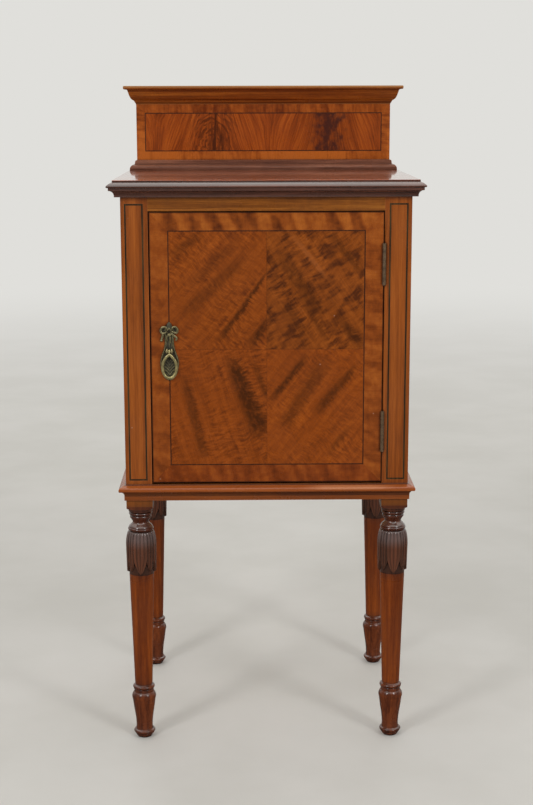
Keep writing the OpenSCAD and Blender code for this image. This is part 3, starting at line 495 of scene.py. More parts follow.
@dataclass(frozen=True)
class Wood:
    """Straight-grained wood: tones from dark to light, grain, and the state of its polish."""

    name: str
    tones: tuple[Colour, Colour, Colour]
    grain: Grain = Grain.ALONG_Z
    width: float = 7.0
    length: float = 220.0
    ripple: float = 0.0
    gloss: float = 0.26
    shine: float = 0.25
    pores: float = 0.35
    crevice: float = 0.7
    reach: float = 5.0
    arris: float = 0.25
    # Pale tint on arrises: worn polish and painted highlight
    edge_wear_and_highlight: Colour = (176, 112, 62)
    cloud: float = 0.25
    bump: float = 0.12
    coat: float = 0.0
    coat_gloss: float = 0.1
    # A lighter ramp above upper_z: painted light
    upper: tuple[Colour, Colour, Colour] | None = None
    upper_z: Flat = (0.0, 1.0)
    zones: tuple[Zone, ...] = ()
    carved: bool = False
    turned_z: float = 284.0
    stains: tuple[Colour, Colour] = ((52, 25, 17), (98, 50, 32))
    # Dark tints for the carving's recesses and for crevices: dirt and painted shade
    hollow: Colour = (30, 18, 15)
    shade_and_dirt: Colour = (24, 12, 8)
    speck: Colour = (190, 165, 145)

    def material(self) -> Material:
        """Builds the material.

        Returns:
            The material.
        """
        s = Surface(self.name)
        parts, level = s.place.parts(), s.place.parts()[2]
        place = s.vector(*[parts[i] for i in self.grain.value])
        grain = s.use(GRAIN, Position=place, Width=self.width, Length=self.length)
        ripple = s.use(RIPPLE, Position=place, Period=5.5, Reach=15.0)
        polish = s.use(POLISH, Position=s.place, Reach=self.reach)
        tone = blend(0.28, grain["Streak"], grain["Fibre"]) + ripple["Ripple"] * ripple["Patch"] * self.ripple
        s.colour = s.ramp(tone, self.tones, 0.05)
        s.over(grain["Pores"] * self.pores, [c * 0.45 for c in self.tones[0]])
        s.over(polish["Cloud"] * self.cloud, self.tones[0])
        roughness, coat = polish["Cloud"] * 0.1 + self.gloss, self.coat
        # Lighter ramp above a height: painted light on the leg posts and the top board's upper face
        if self.upper:
            s.over(level.step(*self.upper_z), s.ramp(tone, self.upper, 0.05))
        if self.carved:
            stain = s.attribute("stain")
            s.over(stain * 0.88, s.ramp(tone, self.stains, 0.2))
            roughness = roughness - stain * 0.1
            coat = stain * (level.step(self.turned_z - 0.5, self.turned_z + 0.5) * 0.6 + 0.6)
        # Tint zones: painted highlights and painted shade on the mouldings and legs, beside plain tints
        for zone in self.zones:
            s.over(zone.mask(s.place), zone.tint)
        # Darker in the carving's recesses by the hollow value: dirt and painted shade
        if self.carved:
            s.over(s.attribute("hollow") * 0.7, self.hollow)
        # Darker in crevices from ambient occlusion: painted shade and dirt
        s.over(polish["Crevice"] * self.crevice, self.shade_and_dirt)
        # Paler on arrises: worn polish and painted highlight
        s.over(polish["Arris"] * (1.0 - polish["Crevice"]) * self.arris, self.edge_wear_and_highlight)
        s.over(polish["Speck"] * 0.5, self.speck)
        return s.finish(roughness, grain["Fibre"] * 0.4 - grain["Pores"], self.bump, 0.15,
                        Specular_IOR_Level=self.shine, Coat_Roughness=self.coat_gloss, Coat_Weight=coat)


@dataclass(frozen=True)
class FigureBand:
    """A dark band in a quarter of the door's field, in millimetres from the door's middle."""

    angle: float
    across: float
    start: float
    end: float
    width: float
    strength: float
    comb: float = 1.5
    spread: float = 0.0


@dataclass(frozen=True)
class QuarterVeneer:
    """One quarter of the door's field: its grain's angle, tones, bands, and pale streaks."""

    name: str
    angle: float
    tones: tuple[Colour, Colour, Colour]
    bands: Sequence[Sequence[float]]
    pale: Sequence[Sequence[float]] = ()
    shimmer: float = 0.38
    mottle: float = 0.0
    band_colour: Colour = (68, 31, 4)
    pale_colour: Colour = (164, 90, 38)
    pore: Colour = (64, 27, 9)
    joint: Colour = (50, 22, 8)

    def material(self, middle: Flat) -> Material:
        """Builds the material.

        Args:
            middle: The door's middle, in x and z.

        Returns:
            The material.
        """
        s = Surface(self.name)
        sx, y, sz = s.place.parts()
        x, z = sx - middle[0], sz - middle[1]
        cos, sin = math.cos(math.radians(self.angle)), math.sin(math.radians(self.angle))
        along, across = x * cos + z * sin, x * sin - z * cos
        place = s.vector(across, y, along)
        grain = s.use(GRAIN, Position=place, Width=9.0, Length=150.0)
        ripple = s.use(RIPPLE, Position=place, Period=3.6, Reach=12.0)
        fine = s.use(RIPPLE, Position=place, Period=1.6, Reach=7.0)
        polish = s.use(POLISH, Position=s.place, Reach=2.0)
        shimmer = (ripple["Ripple"] * 0.6 + fine["Ripple"] * 0.4) * (ripple["Patch"] * 0.65 + 0.35)
        tone = (blend(0.4, grain["Streak"], grain["Fibre"]) - 0.5) * 0.42 + 0.5 + shimmer * self.shimmer
        if self.mottle:
            tone = tone - s.noise((across / 24.0, 0.0, along / 11.0)).step(0.45, 0.62) * self.mottle
        s.colour = s.ramp(tone, self.tones)
        wave = blend(0.55, ripple["Ripple"], fine["Ripple"])
        for bands, tint in ((self.bands, self.band_colour), (self.pale, self.pale_colour)):
            mask: Value = 0.0
            for band in bands:
                facts = {name.capitalize(): value for name, value in asdict(FigureBand(*band)).items()}
                mask = s.maths("MAXIMUM", mask, s.use(BAND, X=x, Z=z, Ripple=wave, **facts))
            if bands:
                s.over(mask, tint)
        s.over(grain["Pores"] * 0.2, self.pore)
        s.over(s.maths("MINIMUM", abs(x), abs(z)).step(0.15, 0.7, 0.3, 0.0), self.joint)
        return s.veneer(grain, polish)


@dataclass(frozen=True)
class Banding:
    """Crossbanding: a strip whose grain runs across it, barred along its length."""

    name: str
    grain: Grain
    tones: tuple[Colour, Colour, Colour]
    bar: float = 11.0
    contrast: float = 1.0
    sharp: float = 0.7
    segments: float = 0.0
    middle: Flat = (0.0, 0.0)
    half: Flat = (0.0, 0.0)
    rim: tuple[Flat, Flat] | None = None
    pore: Colour = (70, 30, 12)
    shade_and_dirt: Colour = (26, 12, 7)
    rim_shadow: Colour = (24, 13, 10)

    def material(self) -> Material:
        """Builds the material.

        Returns:
            The material.
        """
        s = Surface(self.name)
        x, y, z = s.place.parts()
        if self.half[0]:
            # Four strips in one node: the end strips lie beyond the mitres, and their grain lies level
            end_strip = s.maths("GREATER_THAN", abs(x - self.middle[0]) - self.half[0],
                                abs(z - self.middle[1]) - self.half[1])
            length, breadth = blend(end_strip, x, z), blend(end_strip, z, x)
        else:
            length, breadth = (x, z) if self.grain is Grain.ALONG_Z else (z, x)
        place = s.vector(length, y, breadth)
        grain = s.use(GRAIN, Position=place, Width=self.bar, Length=90.0)
        ripple = s.use(RIPPLE, Position=place, Period=6.0, Reach=9.0)
        polish = s.use(POLISH, Position=s.place, Reach=3.5)
        bars = s.noise(((length + breadth * 0.3) / self.bar, 2.0, breadth / 60.0), 1.0, 0.4)
        tone = blend(self.sharp, bars.step(0.32, 0.68), blend(0.3, grain["Streak"], grain["Fibre"]))
        tone = (tone - 0.5) * self.contrast + 0.5 + ripple["Ripple"] * 0.1
        if self.segments:
            above = s.maths("GREATER_THAN", z, self.middle[1])
            count = s.maths("FLOOR", x / self.segments + above * 0.37)
            chance = s.node("TexWhiteNoise", {"Vector": s.vector(count, above, 0.0)}, "Value", noise_dimensions="2D")
            # Paler towards its foot, where the cornice doesn't shade it
            fade = z.step(self.middle[1] - self.half[1], self.middle[1] + self.half[1], 0.34, -0.1)
            tone = tone + (chance - 0.5) * 0.5 + fade
        s.colour = s.ramp(tone, self.tones, 0.02)
        s.over(grain["Pores"] * 0.25, self.pore)
        # Darker in crevices from ambient occlusion: painted shade and dirt
        s.over(polish["Crevice"] * 0.9, self.shade_and_dirt)
        if self.rim:
            # Painted shadow along the outer edges, most of it on the handle's side
            (left, low), (right, high) = self.rim
            inside = s.maths("MINIMUM", x - (left - 0.4), (right + 0.8) - x)
            inside = s.maths("MINIMUM", inside, s.maths("MINIMUM", z - (low - 0.4), (high + 0.2) - z))
            s.over(inside.step(0.6, 2.4, 0.85, 0.0), self.rim_shadow)
        return s.veneer(grain, polish)


@dataclass(frozen=True)
class FlameVeneer:
    """Veneer of the raised back: fine lines that arch over two dark plumes."""

    name: str
    middle: Flat
    plumes: Flat = (-71.0, 90.0)
    sway: float = 0.34
    tones: tuple[Colour, Colour, Colour] = ((100, 42, 9), (146, 67, 16), (174, 88, 24))
    arches: Colour = (70, 30, 9)
    blot: Colour = (60, 34, 30)
    shade: Colour = (84, 34, 14)
    speck: Colour = (200, 170, 150)
    pore: Colour = (60, 24, 10)

    def material(self) -> Material:
        """Builds the material.

        Returns:
            The material.
        """
        s = Surface(self.name)
        x, y, z = s.place.parts()
        x, z = x - self.middle[0], z - self.middle[1]
        left, right = x - self.plumes[0], x - self.plumes[1]
        phase = left * (2 * math.pi / (self.plumes[1] - self.plumes[0]))
        wobble = s.noise((x / 22.0, 0.0, z / 40.0), 3.0, 0.55)
        lines = x + (z + 30.0) * s.maths("SINE", phase) * self.sway + (wobble - 0.5) * 5.0
        fine = s.noise((lines / 2.0, 0.0, z / 70.0), 2.0, 0.6)
        broad = s.noise((lines / 13.0, 4.0, z / 110.0))
        grain = s.use(GRAIN, Position=s.vector(lines, y, z), Width=7.0, Length=160.0)
        polish = s.use(POLISH, Position=s.place, Reach=2.0)
        s.colour = s.ramp((blend(0.6, broad.step(0.3, 0.7), fine.step(0.34, 0.64)) - 0.5) * 0.8 + 0.5, self.tones)
        # Left plume: nested arches round a dark spine
        low = z + 26.0
        radius = s.maths("SQRT", left * left + low * low * 0.35)
        turn = s.maths("ARCTAN2", left, low)
        arch = s.noise(((radius + wobble * 8.0) / 2.6, turn * 2.4, 1.0), 2.0, 0.6).step(0.42, 0.6) * 0.75
        streaks = s.noise(((left + wobble * 5.0) / 4.0, 9.0, z / 40.0)).step(0.38, 0.58)
        spine = abs(left - 6.0).step(4.0, 20.0, 0.95, 0.0) * streaks
        s.over(abs(left).step(14.0, 42.0, 1.0, 0.0) * s.maths("MAXIMUM", arch, spine), self.arches)
        # Right plume: a dark, ragged blot
        ragged = s.noise((x / 9.0, 2.1, z / 12.0), 3.0, 0.6)
        s.over((abs(right) / 26.0 + (0.5 - ragged) * 3.0).step(-0.1, 1.1, 0.95, 0.0), self.blot)
        s.over(abs(right).step(18.0, 52.0, 0.28, 0.0), self.shade)
        s.over(polish["Speck"] * 0.5, self.speck)
        s.over(grain["Pores"] * 0.25, self.pore)
        return s.finish(polish["Cloud"] * VENEER_CLOUD + VENEER_GLOSS, grain["Fibre"], 0.05, 0.1,
                        Specular_IOR_Level=VENEER_SHINE)


@dataclass(frozen=True)
class Metal:
    """Old metal: its clean, tarnished and black tones, and how far tarnish has gone."""

    name: str
    tones: tuple[Colour, Colour, Colour]
    tarnish: float = 0.7
    gloss: float = 0.35
    size: float = 6.0
    carved: bool = False

    def material(self) -> Material:
        """Builds the material.

        Returns:
            The material.
        """
        s = Surface(self.name)
        clean, tarnished, black = self.tones
        age = s.use(TARNISH, Position=s.place, Size=self.size)
        polish = s.use(POLISH, Position=s.place, Reach=2.2)
        amount = blend(0.35, age["Blotch"], age["Grime"]) * self.tarnish
        s.colour = s.mix(amount, clean, tarnished)
        # Dark from ambient occlusion in crevices, painted shade and grime, and from the hollow value: patina in the
        # relief, and painted shade on the discs behind the bow's loops
        shade_and_dirt = polish["Crevice"] * 0.9
        if self.carved:
            bright = s.attribute("bright")
            shade_and_dirt = s.maths("MAXIMUM", shade_and_dirt, s.attribute("hollow")) * (1.0 - bright * 0.75)
            s.over(bright * 0.8, [min(c * 1.12, 235) for c in clean])
        shade_and_dirt = s.maths("MINIMUM", shade_and_dirt + age["Pits"] * 0.3, 0.97)
        s.over(shade_and_dirt, black)
        return s.finish(shade_and_dirt * 0.3 + amount * 0.2 + self.gloss, age["Grime"] * 0.3 - age["Pits"], 0.18, 0.12,
                        Metallic=shade_and_dirt.step(0.1, 0.9, 0.55, 0.15))


# ---- Meshes ---------------------------------------------------------------------------------------


@dataclass
class Shape:
    """Points, faces and values of a mesh that is being put together, in millimetres."""

    points: list[Point] = field(default_factory=list)
    faces: list[Sequence[int]] = field(default_factory=list)
    values: dict[str, dict[int, float]] = field(default_factory=dict)

    def rings(self, rings: Sequence[Sequence[Point]], caps: bool = True, loop: bool = False) -> int:
        """Skins a row of closed rings that have as many points each.

        Args:
            rings: The rings, in order.
            caps: Closes both ends.
            loop: Joins the last ring to the first.

        Returns:
            Index of the first new point.
        """
        start, count = len(self.points), len(rings[0])
        for ring in rings:
            self.points.extend(ring)
        for i in range(len(rings) if loop else len(rings) - 1):
            a, b = start + i * count, start + ((i + 1) % len(rings)) * count
            self.faces += [(a + j, a + (j + 1) % count, b + (j + 1) % count, b + j) for j in range(count)]
        if caps and not loop:
            self.faces.append([start + j for j in reversed(range(count))])
            self.faces.append([start + (len(rings) - 1) * count + j for j in range(count)])
        return start

    def tube(self, line: Sequence[Point], radii: Sequence[Flat], sides: int = 12, loop: bool = False) -> int:
        """Sweeps an oval section along a line.

        Args:
            line: Points of the centre line.
            radii: Half width across, and half thickness out of the plane, at each point.
            sides: Number of points in a section.
            loop: Closes the line on itself.

        Returns:
            Index of the first new point.
        """
        centres = [Vector(p) for p in line]
        rings = []
        for i, centre in enumerate(centres):
            before = centres[i - 1] if i or loop else centre
            after = centres[(i + 1) % len(centres)] if i + 1 < len(centres) or loop else centre
            ahead = (after - before).normalized()
            out = Vector((0, -1, 0))
            out = (out - ahead * out.dot(ahead)).normalized()
            side = ahead.cross(out)
            wide, thick = radii[i]
            rings.append([tuple(centre + side * wide * math.cos(t) + out * thick * math.sin(t)) for t in turns(sides)])
        return self.rings(rings, loop=loop)

    def mark(self, first: int, **values: float | Sequence[float]) -> None:
        """Keeps values for the newest points.

        Args:
            first: The first of these points.
            values: One value for all of them or one for each, by name.
        """
        for name, given in values.items():
            given = given if isinstance(given, Sequence) else [given] * (len(self.points) - first)
            self.values.setdefault(name, {}).update({first + i: v for i, v in enumerate(given)})

    def mesh(self, name: str, sharp: float) -> bpy.types.Mesh:
        """Makes the mesh.

        Args:
            name: Its name.
            sharp: Edges above this angle in degrees stay sharp.

        Returns:
            The mesh, in metres.
        """
        made = bpy.data.meshes.new(name)
        made.from_pydata([tuple(c * MM for c in p) for p in self.points], [], [tuple(f) for f in self.faces])
        for text, found in self.values.items():
            layer = made.attributes.new(text, "FLOAT", "POINT")
            layer.data.foreach_set("value", [found.get(i, 0.0) for i in range(len(self.points))])
        work = bmesh.new()
        work.from_mesh(made)
        bmesh.ops.recalc_face_normals(work, faces=work.faces)
        work.to_mesh(made)
        work.free()
        made.shade_smooth()
        made.set_sharp_from_angle(angle=math.radians(sharp))
        return made


def place_piece(mesh: bpy.types.Mesh, body: Body, slot: str, finish: Material, *nodes: str,
                even: bool = False) -> bpy.types.Object:
    """Adds a piece to the cupboard.

    Args:
        mesh: Its mesh, whose name the piece takes.
        body: The body that it rides on.
        slot: Name of the material slot. Not used.
        finish: Its material.
        nodes: CAD nodes that it stands for.
        even: Weights its normals by face, so that flat faces look flat.

    Returns:
        The piece.
    """
    piece = bpy.data.objects.new(mesh.name, mesh)
    bpy.context.scene.collection.objects.link(piece)
    mesh.materials.append(finish)
    if even:
        modifier = piece.modifiers.new("even_normals", "WEIGHTED_NORMAL")
        modifier.keep_sharp = True
    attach(piece, body.value)
    if nodes:
        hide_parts(*nodes)
    log.info("%s: rides on %s, stands for %s", mesh.name, body.value, ", ".join(nodes) or "no solid")
    return piece


def dress(finish: Material, nodes: str) -> None:
    """Gives CAD nodes a finish.

    Args:
        finish: Their material.
        nodes: Their names, with blanks between them.
    """
    for name in nodes.split():
        NODES[name].data.materials.clear()
        NODES[name].data.materials.append(finish)
    log.info("%s: dressed in %s", nodes.replace(" ", ", "), finish.name)


# ---- Legs -----------------------------------------------------------------------------------------


@dataclass
class TurnedLegs:
    """The four legs: square posts from the solids, with turned feet and carved collars of their own."""

    base_h: float = 327.5
    half: float = 16.75
    quirk: float = 0.8
    past_post: float = 40.0
    z_block: float = 314.0
    round_in_h: float = 8.0
    round_in_w: float = 10.0
    pommel_r: float = 15.4
    z_pommel: float = 309.4
    z_bead: float = 304.6
    neck_r: float = 10.4
    neck_splay: float = 3.4
    neck_slope_h: float = 5.7
    z_neck: float = 295.7
    flare_w: float = 5.1
    z_cap_ring: float = 288.6
    cap_ring_r: float = 16.5
    cap_ring_h: float = 4.2
    z_collar: float = 283.6
    collar_h: float = 56.2
    collar_r: float = 19.7
    collar_swell: float = 20.0
    collar_head_r: float = 15.3
    shaft_top_r: float = 15.9
    shaft_foot_r: float = 11.5
    ankle_ring_r: float = 14.3
    ankle_ring_h: float = 5.0
    ankle_ring_z: float = 67.5
    bulb_r: float = 15.7
    bulb_z: float = 56.4
    bulb_round: float = 9.0
    ankle_r: float = 10.6
    ankle_z: float = 15.5
    foot_r: float = 14.0
    foot_ring_z: float = 5.8
    foot_ring_h: float = 4.8
    pad_r: float = 9.0
    sides: int = 240
    collar_rows: int = 120
    post_cut: float = 0.2
    sharp: float = 30.0

    def bead(self, radius: float, top: float, foot: float) -> list[Flat]:
        """Half-round bead of the turning, from its top down."""
        h = (top - foot) / 2
        return arc(radius - h, foot + h, h, 90, -90, 10)

    def upper(self) -> list[Point]:
        """Turned outline above the collar.

        Returns:
            Radius, height, and how dark it is stained, from the top down.
        """
        q = self.quirk
        block = [(self.past_post, self.base_h - self.post_cut, 0.0),
                 (self.past_post, self.z_block + self.round_in_h, 0.05)]
        for i in range(11, -1, -1):
            a = math.radians(75 * i / 11)
            block.append((self.pommel_r + q + self.round_in_w * math.sin(a),
                          self.z_block + self.round_in_h * (1 - math.cos(a)), 0.3))
        block.append((self.pommel_r, self.z_block, 0.75))
        line = [(self.pommel_r, self.z_pommel + q / 2), (self.pommel_r - 2 * q, self.z_pommel)]
        line += self.bead(self.pommel_r - q / 2, self.z_pommel - q / 4, self.z_bead)
        line.append((self.neck_r + self.neck_splay, self.z_bead - 1.5 * q))
        for t in [i / 8 for i in range(9)]:
            line.append((self.neck_r + self.neck_splay * (1 - t) - 0.35 * math.sin(math.pi * t),
                         self.z_neck + self.neck_slope_h * (1 - t)))
        for t in [i / 12 for i in range(1, 13)]:
            line.append((self.neck_r + self.flare_w * t * t * (3 - 2 * t),
                         self.z_neck - (self.z_neck - self.z_cap_ring) * t))
        line += self.bead(self.cap_ring_r, self.z_cap_ring, self.z_cap_ring - self.cap_ring_h)
        line.append((self.collar_head_r - 0.3, self.z_collar + 0.02))
        return block + [(r, z, 0.78) for r, z in line]

    def lower(self) -> list[Point]:
        """Turned outline below the collar.

        Returns:
            Radius, height, and how dark it is stained, from the top down.
        """
        q = self.quirk
        z_ring = self.ankle_ring_z + self.ankle_ring_h
        shaft_z0, shaft_z1 = self.z_collar - self.collar_h - 1.6, z_ring + 4 * q
        made = []
        for t in [i / 24 for i in range(25)]:
            dark = 0.45 * smooth(t, 0.08, 0.0) + 0.25 * smooth(t, 0.95, 1.0)
            made.append((self.shaft_top_r + (self.shaft_foot_r - self.shaft_top_r) * t,
                         shaft_z0 + (shaft_z1 - shaft_z0) * t, dark))
        made.append((self.shaft_foot_r - q / 2, z_ring + q, 0.7))
        made += [(r, z, 0.85) for r, z in self.bead(self.ankle_ring_r, z_ring, self.ankle_ring_z)]
        made.append((self.ankle_ring_r - 1.5 * q, self.ankle_ring_z - q, 0.9))
        for i, (r, z) in enumerate(arc(self.bulb_r - self.bulb_round, self.bulb_z, self.bulb_round, 50, -22, 14)):
            made.append((r, z, 0.85 - 0.25 * smooth(i, 2, 10)))
        bulb_foot = self.bulb_z - self.bulb_round
        for t in [0.3 + 0.7 * i / 9 for i in range(10)]:
            stem_r = self.ankle_r + (self.bulb_r - self.ankle_r) * 0.75 * (1 - t) ** 2 + q * (1 - t)
            made.append((stem_r, bulb_foot - (bulb_foot - self.ankle_z) * t, 0.6 + 0.15 * t))
        top = self.foot_ring_z + self.foot_ring_h
        made.append((self.ankle_r + q / 2, top + q, 0.8))
        made += [(r, z, 0.95) for r, z in self.bead(self.foot_r, top, self.foot_ring_z)]
        return made + [(self.foot_r - 2 * q, self.foot_ring_z - q, 1.0), (self.pad_r, 0.0, 1.0)]

    def bell(self, drop: float) -> float:
        """Smooth form of the collar, under its carving.

        Args:
            drop: Depth below its top.

        Returns:
            Its radius there.
        """
        if drop < self.collar_swell:
            bulge = math.sin(math.acos(1 - drop / self.collar_swell))
            return self.collar_head_r + (self.collar_r - self.collar_head_r) * bulge
        return self.collar_r - 0.9 * (drop - self.collar_swell) / (self.collar_h - self.collar_swell)

    def leaf_half(self, t: float, tip: float, shoulder: float) -> float:
        """Outline of a leaf.

        Args:
            t: Place as a share of the collar's height, from its top.
            tip: Where the leaf ends.
            shoulder: Where it starts to narrow.

        Returns:
            Half width as a share of its widest.
        """
        if t < shoulder:
            return 0.9 + 0.1 * smooth(t, 0.0, 0.3)
        return (1 - ((t - shoulder) / (tip - shoulder)) ** 1.7) ** 0.85 if t < tip else 0.0

    def carved(self, angle: float, drop: float) -> Flat:
        """Surface of the carved collar: four broad leaves, and four narrow ones behind them.

        Args:
            angle: Angle round the leg, from the middle of its front.
            drop: Depth below the collar's top.

        Returns:
            Radius, and how deep the place lies in the carving, 0 to 1.
        """
        t = drop / self.collar_h
        near = abs((math.degrees(angle) + 45) % 90 - 45)
        bell = self.bell(min(drop, self.collar_h))
        radius, deep = self.shaft_top_r, 0.8
        for off, widest, ribs, tip, shoulder, sunk in ((45 - near, 22.5, 1.5, 0.94, 0.6, 0.75),
                                                       (near, 30.0, 2.0, 1.0, 0.56, 0.0)):
            half = widest * self.leaf_half(t, tip, shoulder)
            if half <= 0:
                continue
            share = off / half
            groove = (1 - abs(math.sin(math.pi * ribs * min(share, 1.0)))) ** 1.4 * smooth(drop, 0.0, 3.0)
            edge = smooth((half - off) * math.pi / 180 * bell, -0.15, 0.35)
            edge *= smooth((tip - t) * self.collar_h, 0.0, 0.7)
            leaf = bell - sunk - (0.9 - 0.3 * t) * groove * (0.55 if share > 0.9 else 1.0)
            radius += (leaf - radius) * edge
            deep += (min(1.0, 0.75 * groove + 0.3 * sunk) - deep) * edge
        # The collar's top 1.6 mm counts as deep, for a painted shadow line under the ring
        return radius, min(1.0, max(deep, 0.85 * smooth(drop, 1.6, 0.2)))

    def turned(self, x: float, y: float) -> Shape:
        """Turned part of one leg.

        Args:
            x: Its axis in x.
            y: Its axis in y.

        Returns:
            The closed shape.
        """
        around = turns(self.sides)
        plain = [0.0] * self.sides
        square = [self.half / max(abs(math.cos(a)), abs(math.sin(a))) for a in around]
        # Each ring: radii, height, stain, and depths in the carving
        rows = [([min(r, s) for s in square], z, dark, plain) for r, z, dark in self.upper()]
        for i in range(self.collar_rows + 1):
            drop = (self.collar_h + 1.0) * i / self.collar_rows
            radii, deep = zip(*[self.carved(a + math.pi / 2, drop) for a in around])
            rows.append((radii, self.z_collar - drop, 1.0, deep))
        rows += [([r] * self.sides, z, dark, plain) for r, z, dark in self.lower()]
        shape = Shape()
        first = shape.rings([[(x + r * math.cos(a), y + r * math.sin(a), z) for r, a in zip(radii, around)]
                             for radii, z, _, _ in rows])
        shape.mark(first, stain=[row[2] for row in rows for _ in around], hollow=[d for row in rows for d in row[3]])
        return shape

    def build(self, finish: Material) -> None:
        """Builds the four legs, each from its turned part and the post of its solid.

        Args:
            finish: Their material.
        """
        for name in ("leg_front_left", "leg_front_right", "leg_rear_left", "leg_rear_right"):
            shape = self.turned(*middle_mm(name)[:2])
            made = shape.mesh("turned_" + name, self.sharp)
            work = bmesh.new()
            work.from_mesh(NODES[name].data)
            bmesh.ops.remove_doubles(work, verts=work.verts, dist=1e-6)
            everything = work.verts[:] + work.edges[:] + work.faces[:]
            bmesh.ops.bisect_plane(work, geom=everything, plane_co=(0, 0, (self.base_h - self.post_cut) * MM),
                                   plane_no=(0, 0, 1), clear_inner=True)
            bmesh.ops.holes_fill(work, edges=[e for e in work.edges if e.is_boundary], sides=0)
            bmesh.ops.recalc_face_normals(work, faces=work.faces)
            for layer in list(work.loops.layers.uv):
                work.loops.layers.uv.remove(layer)
            for layer_name in shape.values:
                work.verts.layers.float.new(layer_name)
            work.from_mesh(made)
            work.to_mesh(made)
            work.free()
            made.materials.clear()
            made.shade_smooth()
            made.set_sharp_from_angle(angle=math.radians(self.sharp))
            place_piece(made, Body.CARCASS, "mahogany", finish, name, even=True)
        log.info("legs: 4 turned and carved")


# ---- Mouldings ------------------------------------------------------------------------------------


@dataclass
class Mouldings:
    """Top board, cornice, base moulding and the moulding at the raised back's foot."""

    top_over: float = 16.0
    cornice_over: float = 16.7
    base_over: float = 9.1
    foot_over: float = 9.9
    steps: int = 24
    sharp: float = 28.0

    def top_edge(self, t: float) -> list[Flat]:
        """Edge of the top board.

        Args:
            t: Its thickness.

        Returns:
            The edge, outward from the carcass and up from the board's underside.
        """
        over = self.top_over
        return [(over - 9.2, 0.0), *arc(over - 2.6, t - 19.3, 6.6, 180, 90, 10), (over - 2.6, t - 9.4),
                *arc(over - 1.3, t - 7.7, 1.28, -60, 40, 8), *arc(over - 15.5, t - 22.7, 22.0, 47.5, 67.5, 12),
                (over - 7.2, t - 2.2), (over - 7.2, t - 0.4), *arc(over - 7.6, t - 0.4, 0.4, 20, 90, 3)]

    def base_mould(self, h: float) -> list[Flat]:
        """Section of the base moulding.

        Args:
            h: Its height.

        Returns:
            The section, outward and upward.
        """
        over = self.base_over
        return [(0.0, 0.0), (1.9, 0.0), (2.2, 0.3), (2.2, h - 14.8),
                *arc(over - 0.9, h - 14.8, over - 3.1, 176, 96, 10), *arc(over - 3.6, h - 6.4, 3.58, -42, 80, 12),
                (0.0, h)]

    def cornice(self, h: float) -> list[Flat]:
        """Section of the cornice, whose curve goes smoothly through drawn points.

        Args:
            h: Its height.

        Returns:
            The section, outward and upward.
        """
        over = self.cornice_over
        drawn = [(3.3, 19.8), (6.5, 17.5), (8.6, 13.7), (10.0, 9.8), (11.4, 5.8), (12.9, 4.9)]
        held = [drawn[0], *drawn, drawn[-1]]
        curve = [spline(held[i:i + 4], t) for i in range(len(drawn) - 1) for t in (0.0, 0.25, 0.5, 0.75)]
        return [(0.0, 0.0), (3.1, 5.2), *[(x, h - d) for x, d in curve + drawn[-1:]], (over - 1.2, h - 4.7),
                (over - 0.5, h - 4.3), (over - 0.15, h - 3.5), (over, h - 2.6), (over, h - 1.4), (over - 0.2, h - 0.6),
                (over - 0.7, h), (0.0, h)]

    def upstand_mould(self, h: float) -> list[Flat]:
        """Section of the moulding at the raised back's foot."""
        over = self.foot_over
        return [(0.0, 0.0), (over, 0.0), *arc(over - 6.5, 1.4, 6.5, 0, 86, 14), (over - 6.6, 8.0),
                (over - 7.0, h - 3.0), (over - 7.3, h - 2.2), (over - 7.5, h - 1.0), (0.0, h)]

    def corners(self, half: float, y: float, y_end: float, out: float, z: float) -> list[Point]:
        """The four corners, moved outward: back left, front left, front right and back right."""
        return [(-half - out, y_end, z), (-half - out, y - out, z), (half + out, y - out, z), (half + out, y_end, z)]

    def runs(self, name: str, half: float, y: float, y_end: float, finishes: tuple[Material, Material],
             slot: str) -> None:
        """Builds the three mitred runs of a moulding.

        Args:
            name: Name of its section's method, which the three CAD nodes begin with.
            half: Half width between the corners.
            y: Plane of the front.
            y_end: Plane of the back.
            finishes: Materials of the front run and of the side runs.
            slot: Name of the material slot, handed on to place_piece.
        """
        lo, hi = box_mm(name + "_front")
        rows = [self.corners(half, y, y_end, out, lo.z + up) for out, up in getattr(self, name)(hi.z - lo.z)]
        for side, corner in (("front", 1), ("left", 0), ("right", 2)):
            shape = Shape()
            shape.rings([[tuple(a + (b - a) * i / self.steps for a, b in zip(row[corner], row[corner + 1]))
                          for row in rows] for i in range(self.steps + 1)])
            place_piece(shape.mesh(f"{name}_{side}_run", self.sharp), Body.CARCASS, slot, finishes[side != "front"],
                        f"{name}_{side}", even=True)

    def build(self, finishes: Finishes) -> None:
        """Builds the top board and the nine runs.

        Args:
            finishes: Materials by name.
        """
        lo, hi = box_mm("top_board")
        half, y_front, y_back = hi.x - self.top_over, lo.y + self.top_over, hi.y
        shape = Shape()
        shape.rings([self.corners(half, y_front, y_back, out, lo.z + up) for out, up in self.top_edge(hi.z - lo.z)])
        place_piece(shape.mesh("moulded_top", self.sharp), Body.CARCASS, "mahogany_top", finishes["top"], "top_board",
                    even=True)
        board_lo, board_hi = box_mm("upstand_board")
        for name, width, y, finish, slot in (("base_mould", half, y_front, "base", "mahogany"),
                                             ("cornice", board_hi.x, board_lo.y, "cornice", "mahogany_cornice"),
                                             ("upstand_mould", board_hi.x, board_lo.y, "foot", "mahogany_dull")):
            self.runs(name, width, y, y_back, (finishes[finish + "_x"], finishes[finish + "_y"]), slot)
        log.info("mouldings: top board and 9 mitred runs")


# ---- Handle ---------------------------------------------------------------------------------------


